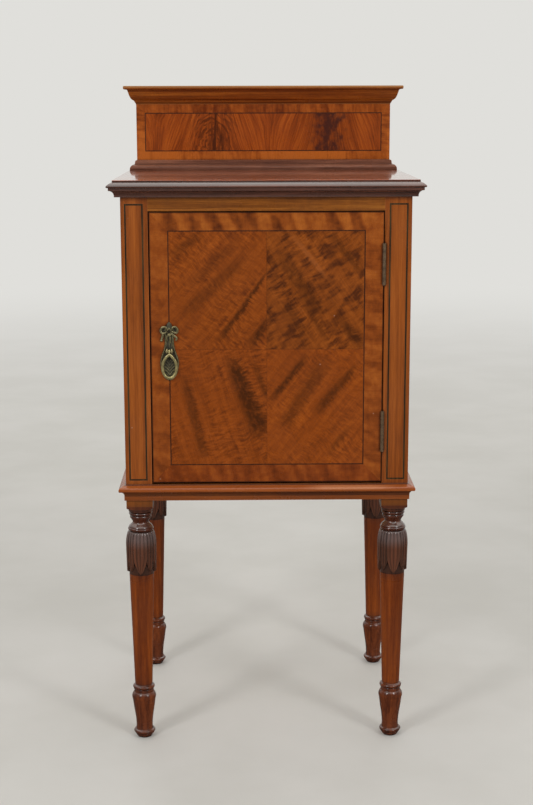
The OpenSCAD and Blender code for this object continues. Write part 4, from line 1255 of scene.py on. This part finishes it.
@dataclass
class Handle:
    """Drop handle: a pear-shaped plate with a ribbon bow, and an oval drop on a pivot.

    Places on it are across, out of the door, and up from the pivot.
    """

    plate_w: float = 23.4
    plate_foot: float = -37.2
    plate_wide: float = -15.5
    plate_rows: int = 120
    plate_columns: int = 49
    neck_foot: float = 10.5
    neck_head: float = 26.0
    neck_half: float = 5.75
    pivot_out: float = 4.4
    ring_top: float = -4.6
    ring_h: float = 32.0
    ring_w: float = 21.4
    ring_bar: float = 1.95
    ring_steps: int = 96
    bow_z: float = 25.5
    knot_r: float = 2.35
    knot_out: float = 2.6
    bud_h: float = 8.4
    bud_half: float = 3.7
    ear_x: float = 2.95
    ear_half: Point = (1.38, 3.1, 3.3)
    knuckle_half: Point = (1.45, 2.1, 3.1)
    field_r: float = 11.0
    field_squeeze: float = 0.62
    chevron: float = 4.2
    flute: float = 3.4
    ground: float = 0.55
    rim_out: float = 1.55
    sharp: float = 40.0
    pivot: Point = field(default_factory=lambda: middle_mm("handle_pin"))
    face_y: float = field(default_factory=lambda: box_mm("veneer_upper_left")[0].y)

    def at(self, x: float, out: float, z: float) -> Point:
        """Place in the row frame."""
        return (self.pivot[0] + x, self.face_y - out, self.pivot[2] + z)

    def plate_half(self, z: float) -> float:
        """Half width of the plate.

        Args:
            z: Height.

        Returns:
            The half width there.
        """
        if z < self.plate_wide:
            share = (self.plate_wide - z) / (self.plate_wide - self.plate_foot)
            return self.plate_w / 2 * math.sqrt(max(0.0, 1 - share * share))
        if z > self.neck_foot:
            return self.neck_half
        fall = 0.5 + 0.5 * math.cos(math.pi * (z - self.plate_wide) / (self.neck_foot - self.plate_wide))
        return self.neck_half + (self.plate_w / 2 - self.neck_half) * fall

    def relief(self, x: float, z: float, half: float) -> Flat:
        """Relief of the plate: a rim round a field with chevrons below and flutes above.

        Args:
            x: Across from its middle.
            z: Height.
            half: Half width there.

        Returns:
            Thickness, and how deep the place lies in the relief, 0 to 1.
        """
        inside = half - abs(x)
        if z < self.plate_wide:
            inside = min(inside, (z - self.plate_foot) * 0.8 + 0.2)
        rim = smooth(inside, 0.0, 0.7) * smooth(inside, 2.0, 1.2)
        in_oval = math.hypot(x / self.field_squeeze, z - (self.ring_top - self.ring_h / 2)) < self.field_r
        uneven = 0.7 * math.sin(0.9 * x + 1.3)
        chevron = 0.5 + 0.5 * math.cos(2 * math.pi * (z - abs(x)) / self.chevron + uneven)
        reed = chevron * (0.4 + 0.6 * smooth(z, -14.0, -25.0)) if in_oval else 0.15
        neck = smooth(z, 2.0, 9.0)
        raised = reed * (1 - neck) + (0.5 + 0.5 * math.cos(2 * math.pi * x / self.flute)) * neck
        field_out = self.ground + 0.38 * raised
        deep = (1 - rim) * (0.98 - (0.85 if in_oval else 0.45) * raised)
        return max(0.35, field_out + rim * (self.rim_out - field_out)), max(0.0, deep)

    def plate(self, shape: Shape) -> None:
        """Adds the plate: a relief over a flat back.

        Args:
            shape: The shape that it joins.
        """
        rings, deep = [], []
        for i in range(self.plate_rows + 1):
            z = self.plate_foot + (self.neck_head + 4 - self.plate_foot) * (i / self.plate_rows) ** 1.15
            half = max(self.plate_half(z), 0.6)
            front = [half * (2 * j / (self.plate_columns - 1) - 1) for j in range(self.plate_columns)]
            relief = [self.relief(x, z, half) for x in front]
            rings.append([self.at(x, r[0], z) for x, r in zip(front, relief)]
                         + [self.at(x, 0.0, z) for x in (half, 0.0, -half)])
            deep.extend([r[1] for r in relief] + [0.5] * 3)
        shape.mark(shape.rings(rings), hollow=deep)

    def strap(self, shape: Shape, line: Sequence[Point], wide: float, thick: float, taper: bool = False,
              loop: bool = False) -> None:
        """Adds a ribbon along a line.

        Args:
            shape: The shape that it joins.
            line: Its centre line.
            wide: Half width.
            thick: Half thickness.
            taper: Thins its ends.
            loop: Closes it on itself.
        """
        last = len(line) - 1
        scales = [0.35 + 0.65 * smooth(min(i, last - i) / last, 0.0, 0.16) if taper else 1.0 for i in range(len(line))]
        shape.tube([self.at(*p) for p in line], [(wide * s, thick * s) for s in scales], 10, loop)

    def curve(self, points: Sequence[Point], count: int) -> list[Point]:
        """Smooth line through a few points, in a number of steps.

        Args:
            points: The points.
            count: Number of steps.

        Returns:
            Points on the line.
        """
        spans = len(points) - 1
        held = [points[0], *points, points[-1]]
        made = []
        for place in [spans * i / count for i in range(count + 1)]:
            k = min(int(place), spans - 1)
            made.append(spline(held[k:k + 4], place - k))
        return made

    def bow(self, shape: Shape) -> None:
        """Adds the bow's loops, tails, knot and bud.

        Args:
            shape: The shape that they join.
        """
        z = self.bow_z

        def ribbon(points: Sequence[Point], steps: int, wide: float, thick: float, taper: bool = True) -> None:
            """Adds a ribbon through points whose heights count from the bow's."""
            self.strap(shape, self.curve([(x, out, z + up) for x, out, up in points], steps), wide, thick, taper)

        ribbon([(-2.0, 1.8, 1.6), (-4.6, 2.6, 4.9), (-8.2, 2.7, 4.8), (-10.4, 2.3, 1.2), (-9.0, 2.2, -2.6),
                (-5.2, 2.4, -2.6), (-2.2, 1.8, -0.6)], 40, 1.3, 0.8, False)
        ribbon([(2.0, 1.8, 1.4), (4.8, 2.8, 4.8), (8.4, 2.8, 5.0), (10.6, 2.4, 1.6), (9.4, 2.2, -2.2),
                (5.6, 2.2, -1.6), (2.2, 1.8, -0.4)], 40, 1.3, 0.8, False)
        # Dark discs behind the loops' openings: painted shade, through a hollow value of 0.9
        for x in (-6.6, 6.9):
            self.ball(shape, (x, 0.55, z + 1.2), (3.5, 0.45, 3.2), 0.9)
        # Tails: the left one hangs, the right one curls out from under the knot
        ribbon([(-7.0, 1.3, -3.0), (-8.2, 1.7, -6.2), (-9.0, 1.5, -9.0), (-9.7, 1.2, -11.6)], 20, 1.35, 0.9)
        self.ball(shape, (-9.8, 1.4, z - 11.9), (1.7, 1.1, 1.4))
        ribbon([(2.4, 2.2, -2.6), (4.2, 2.5, -4.2), (7.1, 2.3, -6.4), (9.5, 1.8, -9.2), (7.8, 1.4, -12.2)],
               26, 1.3, 0.9)
        ribbon([(0.6, 1.8, -5.0), (1.1, 2.0, -9.0), (1.3, 1.6, -15.5)], 16, 1.0, 0.8)
        ribbon([(-2.4, 1.6, -5.2), (-3.0, 1.7, -9.0), (-2.6, 1.4, -13.5)], 16, 0.8, 0.7)
        # Knot round the bolt, the lobes under and over it, and the bud above
        knot = [(self.knot_r * math.cos(t), self.knot_out, z + self.knot_r * math.sin(t)) for t in turns(28)]
        self.strap(shape, knot, 1.05, 1.35, loop=True)
        self.ball(shape, (0.3, 1.7, z - 4.5), (2.5, 1.9, 2.3), 0.0, 0.7)
        self.ball(shape, (0.1, 1.9, z + 3.7), (2.5, 1.4, 1.5), 0.0, 0.35)
        bud = []
        for t in [i / 14 for i in range(15)]:
            half = self.bud_half * max(0.0, 1 - t ** 2.4) ** 0.8 + 0.12
            bud.append([self.at(half * math.cos(a) * (1 + 0.1 * math.cos(5 * a)), 1.5 + 0.44 * half * math.sin(a),
                                z + 3.2 + self.bud_h * t) for a in turns(20)])
        shape.mark(shape.rings(bud), hollow=0.8)

    def ball(self, shape: Shape, middle: Point, half: Point, hollow: float = 0.0, bright: float = 0.0) -> None:
        """Adds an oval lobe.

        Args:
            shape: The shape that it joins.
            middle: Its middle.
            half: Its half sizes.
            hollow: How deep it lies in the relief, 0 to 1.
            bright: How far it's worn bright, 0 to 1.
        """
        rings = []
        for polar in [math.pi * (0.02 + 0.96 * i / 12) for i in range(13)]:
            rings.append([self.at(middle[0] + half[0] * math.sin(polar) * math.cos(a),
                                  middle[1] + half[1] * math.sin(polar) * math.sin(a),
                                  middle[2] + half[2] * math.cos(polar)) for a in turns(18)])
        shape.mark(shape.rings(rings), hollow=hollow, bright=bright)

    def drop(self, shape: Shape) -> None:
        """Adds the oval drop with its lobed knuckle.

        Args:
            shape: The shape that it joins.
        """
        bar, steps = self.ring_bar, self.ring_steps
        foot, head = self.ring_top - self.ring_h + bar + 1.2, self.ring_top + 0.6
        wide, out = self.ring_w / 2 - bar, self.pivot_out + 0.3
        line = []
        for t in turns(steps):
            # Widest below the middle, and drawn up to a point at the knuckle
            height = 0.5 - 0.5 * math.cos(t)
            full = math.sin(t) * (1.1 - 0.2 * height) / 1.012
            x = wide * math.copysign(abs(full) ** (1 + 0.5 * smooth(height, 0.55, 1.0)), full)
            line.append(self.at(x, out, foot + (head - foot) * height))
        radii = [(bar * (1 - 0.1 * math.sin(5 * math.pi * i / 48) ** 2),) * 2 for i in range(steps)]
        first = shape.tube(line, radii, 16, True)
        # Worn bright where fingers pull it, at the foot and a little to the right
        shape.mark(first, bright=[0.9 * smooth(abs(i - 7), 7, 1) for i in range(steps) for _ in range(16)])
        self.ball(shape, (0.0, self.pivot_out + 0.2, -0.4), self.knuckle_half, 0.0, 1.0)
        self.strap(shape, [(0.0, self.pivot_out, -1.0), (0.0, out, self.ring_top - 0.5)], 1.42, 1.3)

    def build(self, finishes: Finishes) -> None:
        """Builds the handle.

        Args:
            finishes: Materials by name.
        """
        plate, drop = Shape(), Shape()
        self.plate(plate)
        self.bow(plate)
        for side in (-1, 1):  # The ears that hold the pivot pin
            self.ball(plate, (side * self.ear_x, 3.3, 0.4), self.ear_half, 0.0, 1.0)
        self.drop(drop)
        place_piece(plate.mesh("bow_plate", self.sharp), Body.DOOR, "antique_brass", finishes["plate"],
                    "handle_backplate")
        place_piece(drop.mesh("oval_drop", self.sharp), Body.DROP, "antique_brass", finishes["drop"], "handle_drop")
        dress(finishes["drop"], "handle_pin handle_nut")
        dress(finishes["bolt"], "handle_bolt")
        log.info("handle: plate with bow, and drop")


# ---- Door and carcass -----------------------------------------------------------------------------


@dataclass
class Door:
    """The door's veneers and fittings. A band is angle, across, start, end, width, strength, comb and spread."""

    spring_wire: float = 0.33
    spring_coils: int = 8
    spring_steps: int = 24
    spring_room: float = 0.05
    ball_travel: float = 1.2
    quarters: tuple[QuarterVeneer, ...] = (
        QuarterVeneer(
            "upper_left", 50.0, ((92, 40, 8), (130, 61, 11), (160, 80, 20)),
            ((55.3, -54.9, -22, 83, 3.4, 0.85, 1.8, -0.9), (55.6, -19.9, -7, 39, 5.6, 0.9, 2.6, -0.5),
             (43.0, -103.2, -46, 60, 9.0, 0.4), (42.3, -123.8, -15, 64, 7.0, 0.3),
             (37.8, -164.6, -22, 27, 7.0, 0.5, 2.0))),
        QuarterVeneer(
            "upper_right", 124.0, ((80, 36, 8), (132, 65, 14), (164, 87, 25)),
            ((122.8, 79.2, 0, 95, 10.0, 0.62, 2.0), (120.2, 70.7, -30, 36, 5.0, 0.5, 3.0),
             (126.3, 150.7, 6, 70, 5.0, 0.6, 2.0), (126.8, 97.7, -67, -20, 7.0, 0.75, 3.0),
             (128.0, 50.0, -20, 40, 8.0, 0.35, 3.0)),
            ((130.3, 115.4, 20, 92, 3.4, 0.5, 1.0),), shimmer=0.26, mottle=0.36),
        QuarterVeneer(
            "lower_left", 108.0, ((84, 35, 6), (131, 61, 11), (158, 77, 19)),
            ((111.6, -46.2, -100, 9, 12.5, 0.95, 2.6, -0.5), (102.4, -108.7, -119, -10, 7.0, 0.62, 2.4),
             (111.7, -21.8, -63, -6, 4.6, 0.6, 1.6)), shimmer=0.34),
        QuarterVeneer(
            "lower_right", 51.0, ((96, 43, 8), (135, 63, 12), (166, 83, 19)),
            ((50.6, 45.0, -46, 28, 4.8, 0.85, 2.0), (56.8, 71.5, -73, 30, 10.0, 0.55, 2.0),
             (50.4, 100.0, -23, 58, 6.5, 0.75, 2.2, -0.6), (49.9, 145.9, -54, -6, 5.0, 0.45)), shimmer=0.3))

    def spring(self, steel: Material) -> None:
        """Winds the catch's spring as a fixed coil, which doesn't shorten as its ball is pressed in.

        Args:
            steel: Its material.
        """
        lo, hi = box_mm("catch_spring")
        _, y, z = middle_mm("catch_spring")
        end, total = self.spring_wire + self.spring_room, self.spring_coils * self.spring_steps
        radius = (hi.z - lo.z) / 2 - end
        line = []
        for i in range(total + 1):
            turn = 2 * math.pi * i / self.spring_steps
            line.append((lo.x + end + (hi.x - lo.x - 2 * end) * i / total, y + radius * math.cos(turn),
                         z + radius * math.sin(turn)))
        shape = Shape()
        shape.tube(line, [(self.spring_wire, self.spring_wire)] * len(line), 8)
        coil = place_piece(shape.mesh("spring_coil", 40), Body.DOOR, "steel", steel, "catch_spring")
        y * MM
        z * MM
        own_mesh(coil)

    def build(self, finishes: Finishes) -> None:
        """Dresses the door.

        Args:
            finishes: Materials by name.
        """
        (left, _, low), (right, _, high) = box_mm("door_board")
        for quarter in self.quarters:
            dress(quarter.material(((left + right) / 2, (low + high) / 2)), "veneer_" + quarter.name)
        tones = ((86, 36, 7), (136, 66, 17), (168, 91, 31))
        for name, grain, shades, bar, contrast, sharp in (
                ("top", Grain.ALONG_Z, ((80, 33, 7), (138, 68, 18), (172, 95, 32)), 15.0, 0.85, 0.3),
                ("foot", Grain.ALONG_Z, ((84, 34, 6), (126, 57, 14), (158, 80, 24)), 16.0, 0.7, 0.4),
                ("left", Grain.ALONG_X, tones, 20.0, 0.6, 0.5), ("right", Grain.ALONG_X, tones, 15.0, 0.7, 0.5)):
            # rim: painted shadow along the door's outer edges
            band = Banding("band_" + name, grain, shades, bar, contrast, sharp, rim=((left, low), (right, high)))
            dress(band.material(), "crossband_" + name)
        dress(finishes["line"], "door_stringing")
        dress(finishes["inside"], "door_board")
        dress(finishes["brass"], "hinge_door_leaves hinge_door_screws catch_barrel")
        dress(finishes["steel"], "catch_ball")
        self.spring(finishes["steel"])
        log.info("door: %d quarters, 4 crossbands, fittings", len(self.quarters))


@dataclass
class Carcass:
    """Boards, panels and lines of the carcass and the raised back."""

    boards: dict[str, str] = field(default_factory=lambda: {
        "side": "side_panel_left side_panel_right", "rail": "top_rail_front bottom_rail_front",
        "pine_x": "top_rail_rear bottom_rail_rear floor_board shelf door_stops",
        "pine_y": "floor_bearers shelf_bearers", "pine_z": "back_panel", "board": "upstand_board",
        "line": "upstand_stringing", "post_line": "stile_stringing", "steel": "back_screws top_screws upstand_screws",
        "brass": "hinge_frame_leaves hinge_pins hinge_frame_screws strike_plate strike_screws"})

    def build(self, finishes: Finishes) -> None:
        """Dresses the boards that keep their solids.

        Args:
            finishes: Materials by name.
        """
        for name, nodes in self.boards.items():
            dress(finishes[name], nodes)
        (left, _, low), (right, _, high) = box_mm("upstand_flame_veneer")
        middle, half = ((left + right) / 2, (low + high) / 2), ((right - left) / 2, (high - low) / 2)
        dress(FlameVeneer("flame", middle).material(), "upstand_flame_veneer")
        band = Banding("band_raised_back", Grain.ALONG_Z, ((104, 44, 9), (148, 73, 20), (176, 94, 31)), 7.0, 0.9, 0.7,
                       58.0, middle, half)
        dress(band.material(), "upstand_crossbanding")
        log.info("carcass: boards, pine, lines and screws dressed")


# ---- Studio ---------------------------------------------------------------------------------------


@dataclass
class Studio:
    """Floor, world, lights and camera. Distances are in metres here, and angles in degrees."""

    floor_radii: tuple[float, ...] = (0.0005, 0.5, 1.0, 2.0, 4.0, 8.0, 14.0)
    floor_sides: int = 96
    fade: Flat = (1.2, 5.0)
    pale: Colour = (224, 223, 219)
    ambient: float = 0.86
    yaw: float = 0.824
    pitch: float = 11.331
    roll: float = -0.129
    lens: float = 66.62
    eye: Point = (-0.0270, -1.9876, 0.8241)
    softboxes: tuple[tuple[str, Point, float, Flat, float], ...] = (
        ("softbox_left", (-1.5, -1.9, 1.75), 0.42, (0.5, 1.0), 17),
        ("softbox_right", (1.5, -1.9, 1.75), 0.42, (0.5, 1.0), 16),
        ("softbox_back", (0.0, 2.4, 2.3), 0.5, (2.6, 1.6), 8))

    def world(self) -> None:
        """Makes the pale world, softer as a light than as a background."""
        world = bpy.data.worlds.new("studio")
        bpy.context.scene.world = world
        world.use_nodes = True
        g = Graph(world.node_tree)
        rays = g.node("LightPath")
        seen = g.maths("MAXIMUM", rays["Is Camera Ray"], rays["Is Transmission Ray"])
        _, y, z = g.node("TexCoord", (), "Generated").parts()
        glossy = y.step(-0.9, -0.3, 0.08, 0.35) + y.step(0.0, 0.5, 0.0, 0.6) + z.step(0.4, 0.85, 0.0, 2.2)
        back = world.node_tree.nodes["Background"].inputs
        g.feed(back["Color"], self.pale)
        g.feed(back["Strength"], blend(seen, blend(rays["Is Glossy Ray"], self.ambient, glossy), 1.0))

    def floor(self) -> None:
        """Makes a pale floor that fades into the world far away."""
        shape = Shape()
        shape.rings([[(r / MM * math.cos(a), r / MM * math.sin(a), 0.0) for a in turns(self.floor_sides)]
                     for r in self.floor_radii], caps=False)
        shape.faces.append(list(range(self.floor_sides)))
        mesh = shape.mesh("studio_floor", 35)
        floor = bpy.data.objects.new("studio_floor", mesh)
        bpy.context.scene.collection.objects.link(floor)
        s = Surface("floor_paint")
        cloud = s.noise(s.place.scaled(1 / 300), 4.0, 0.55)
        rays = s.node("LightPath")
        s.colour = s.ramp(cloud.step(0.3, 0.7), ((208, 206, 201), (217, 215, 211)))
        s.over(rays["Is Glossy Ray"], (84, 78, 72))
        s.feed(s.shader.inputs["Base Color"], s.colour)
        s.feed(s.shader.inputs["Roughness"], 0.75)
        far = s.node("VectorMath", (s.place,), "Value", operation="LENGTH").step(self.fade[0] / MM, self.fade[1] / MM)
        seen = s.maths("MAXIMUM", s.maths("MAXIMUM", rays["Is Camera Ray"], rays["Is Transmission Ray"]),
                       rays["Is Glossy Ray"] * 0.35)
        paint = Term(s, s.shader.outputs[0])
        mixed = s.node("MixShader", (far * seen, paint, s.node("Emission", {"Color": self.pale})))
        s.feed(s.tree.nodes["Material Output"].inputs["Surface"], mixed)
        mesh.materials.append(s.material)

    def softbox(self, name: str, place: Point, aim: float, size: Flat, power: float) -> None:
        """Adds a rectangular light.

        Args:
            name: Its name.
            place: Where it stands.
            aim: Height on the cupboard's axis where it points.
            size: Width and height.
            power: Watts.
        """
        light = bpy.data.lights.new(name, "AREA")
        light.shape = "RECTANGLE"
        light.size, light.size_y = size
        light.energy = power
        lamp = bpy.data.objects.new(name, light)
        lamp.location = place
        lamp.rotation_euler = (Vector((0, 0, aim)) - Vector(place)).to_track_quat("-Z", "Y").to_euler()
        bpy.context.scene.collection.objects.link(lamp)

    def camera(self) -> None:
        """Sets the camera at the photograph's place."""
        yaw, pitch, roll = math.radians(self.yaw), math.radians(self.pitch), math.radians(self.roll)
        ahead = Vector((math.sin(yaw) * math.cos(pitch), math.cos(yaw) * math.cos(pitch), -math.sin(pitch)))
        level = Vector((math.cos(yaw), -math.sin(yaw), 0))
        above = level.cross(ahead)
        right = level * math.cos(roll) + above * math.sin(roll)
        up = above * math.cos(roll) - level * math.sin(roll)
        data = bpy.data.cameras.new("camera")
        data.lens, data.sensor_width = self.lens, 36.0
        camera = bpy.data.objects.new("camera", data)
        camera.matrix_world = Matrix.Translation(Vector(self.eye)) @ Matrix((right, up, -ahead)).transposed().to_4x4()
        bpy.context.scene.collection.objects.link(camera)
        bpy.context.scene.camera = camera

    def build(self) -> None:
        """Builds the studio."""
        bpy.context.scene.view_settings.view_transform = "Standard"
        self.world()
        self.floor()
        for facts in self.softboxes:
            self.softbox(*facts)
        self.camera()
        log.info("studio: floor, world, %d softboxes, camera", len(self.softboxes))


# ---- All together ---------------------------------------------------------------------------------


def make_finishes() -> Finishes:
    """The finishes of the cupboard's solids and pieces.

    Returns:
        Materials by name.
    """
    pine = dict(tones=((150, 104, 58), (186, 142, 88), (208, 168, 112)), width=12.0, gloss=0.6, shine=0.2,
                edge_wear_and_highlight=(214, 184, 134), pores=0.1)
    dull = dict(tones=((84, 47, 33), (124, 77, 57), (152, 102, 78)), gloss=0.26, edge_wear_and_highlight=(178, 126, 104), arris=0.6)
    # Cornice: a painted highlight along its top edge, and a darker band along its foot
    gold = dict(tones=((94, 42, 9), (128, 64, 16), (156, 88, 28)), width=3.0, gloss=0.26, edge_wear_and_highlight=(172, 124, 76),
                arris=0.6, crevice=0.8, reach=3.0,
                zones=(Zone(846.6, 850.0, (178, 130, 80), 0.6), Zone(823.0, 827.5, (62, 28, 8), 0.5)))
    # Base moulding, band by band: painted shade in the cove and on the slope above the bead, a painted highlight on the
    # bead with a pinkish painted reflection over its right part, and a plain tint on the fillet at its foot
    base = dict(tones=((98, 42, 12), (132, 64, 20), (156, 82, 30)), gloss=0.2, edge_wear_and_highlight=(190, 116, 64), arris=0.4,
                crevice=0.85, reach=4.0, shine=0.5,
                zones=(Zone(333.0, 338.8, (50, 22, 7), 0.62), Zone(326.0, 333.0, (124, 62, 16), 0.5),
                       Zone(340.8, 347.2, (180, 93, 34), 0.4),
                       Zone(342.6, 346.8, (216, 148, 104), 0.4, (60.0, 150.0)), Zone(347.4, 350.0, (84, 54, 44), 0.75)))
    # Legs: painted sheen, pale and grey, on the collar's top and on the flare under the neck; plain tints on the
    # collar, darker ones on the rings and the block's rounded foot, and a golden one under the base moulding
    leg_zones = (Zone(227.2, 283.4, (102, 66, 48), 0.4), Zone(268.0, 283.4, (116, 106, 106), 0.5, soft=9.0),
                 Zone(289.2, 295.0, (72, 62, 58), 0.5), Zone(318.5, 327.0, (112, 66, 18), 0.5),
                 Zone(309.6, 318.5, (56, 30, 22), 0.5), Zone(295.5, 309.4, (48, 17, 9), 0.55),
                 Zone(284.2, 288.8, (56, 20, 12), 0.5))
    line = dict(width=3.0, gloss=0.4, shine=0.2, arris=0.0)
    made = {
        # Legs: the lighter upper ramp makes the posts above the base moulding painted light
        "leg": Wood("leg_mahogany", ((94, 38, 7), (124, 56, 11), (150, 73, 17)), width=8.0, length=260.0, gloss=0.28,
                    carved=True, arris=0.22, edge_wear_and_highlight=(150, 114, 98), crevice=0.85, reach=3.5, shine=0.3, bump=0.05,
                    upper=((112, 53, 10), (142, 72, 18), (162, 87, 27)), upper_z=(318.0, 332.0), zones=leg_zones),
        "side": Wood("side_mahogany", ((96, 44, 11), (128, 64, 18), (152, 82, 27)), width=14.0, ripple=0.12),
        "rail": Wood("rail_mahogany", ((106, 56, 14), (138, 78, 22), (164, 100, 34)), Grain.ALONG_X, width=4.0,
                     ripple=0.08, crevice=0.5, reach=3.0),
        "board": Wood("back_mahogany", ((86, 39, 10), (118, 58, 17), (140, 74, 26)), Grain.ALONG_X, width=10.0),
        "inside": Wood("door_mahogany", ((104, 54, 22), (138, 78, 34), (160, 98, 48)), width=14.0, gloss=0.42),
        # Top board: the lighter upper ramp on its upper face, against the dark moulded edge, is painted light
        "top": Wood("top_mahogany", ((52, 28, 21), (78, 43, 32), (100, 57, 42)), Grain.ALONG_X, width=10.0, gloss=0.2,
                    upper=((132, 62, 34), (176, 89, 50), (202, 113, 68)), upper_z=(732.4, 732.9), shine=0.4,
                    arris=0.22, edge_wear_and_highlight=(150, 112, 100), cloud=0.2, bump=0.02, coat=1.0, coat_gloss=0.05),
        "line": Wood("dark_line", ((48, 22, 10), (62, 30, 14), (84, 42, 18)), **line),
        "post_line": Wood("post_line", ((36, 28, 16), (50, 40, 24), (76, 60, 34)), length=60.0, **line),
        "pine_z": Wood("pine_z", **pine),
        "brass": Metal("hinge_brass", ((122, 100, 76), (80, 64, 48), (32, 25, 19)), 0.85, 0.46),
        "steel": Metal("dull_steel", ((140, 138, 134), (92, 88, 82), (34, 30, 27)), 0.6, 0.38),
        "drop": Metal("drop_brass", ((180, 168, 118), (118, 110, 72), (36, 31, 20)), 0.8, 0.28, 5.0, True),
        "plate": Metal("plate_brass", ((160, 150, 110), (94, 88, 60), (26, 23, 17)), 0.95, 0.3, 4.0, True),
        # Bolt head: blackened, and dark enough to be painted shade for the hole at the knot's middle
        "bolt": Metal("bolt_brass", ((58, 50, 36), (40, 35, 26), (20, 17, 13)), 0.9, 0.5, 3.0),
    }
    for name, facts in {"cornice": gold, "base": base, "foot": dull, "pine": pine}.items():
        for end, grain in (("_x", Grain.ALONG_X), ("_y", Grain.ALONG_Y)):
            made[name + end] = Wood(name + end, grain=grain, **facts)
    return {name: finish.material() for name, finish in made.items()}


def main() -> None:
    """Builds the cupboard's looks in order."""
    logging.basicConfig(level=logging.INFO, format="%(name)s: %(message)s")
    finishes = make_finishes()
    Studio().build()
    TurnedLegs().build(finishes["leg"])
    Mouldings().build(finishes)
    Handle().build(finishes)
    Door().build(finishes)
    Carcass().build(finishes)


if __name__ == "__main__":
    main()
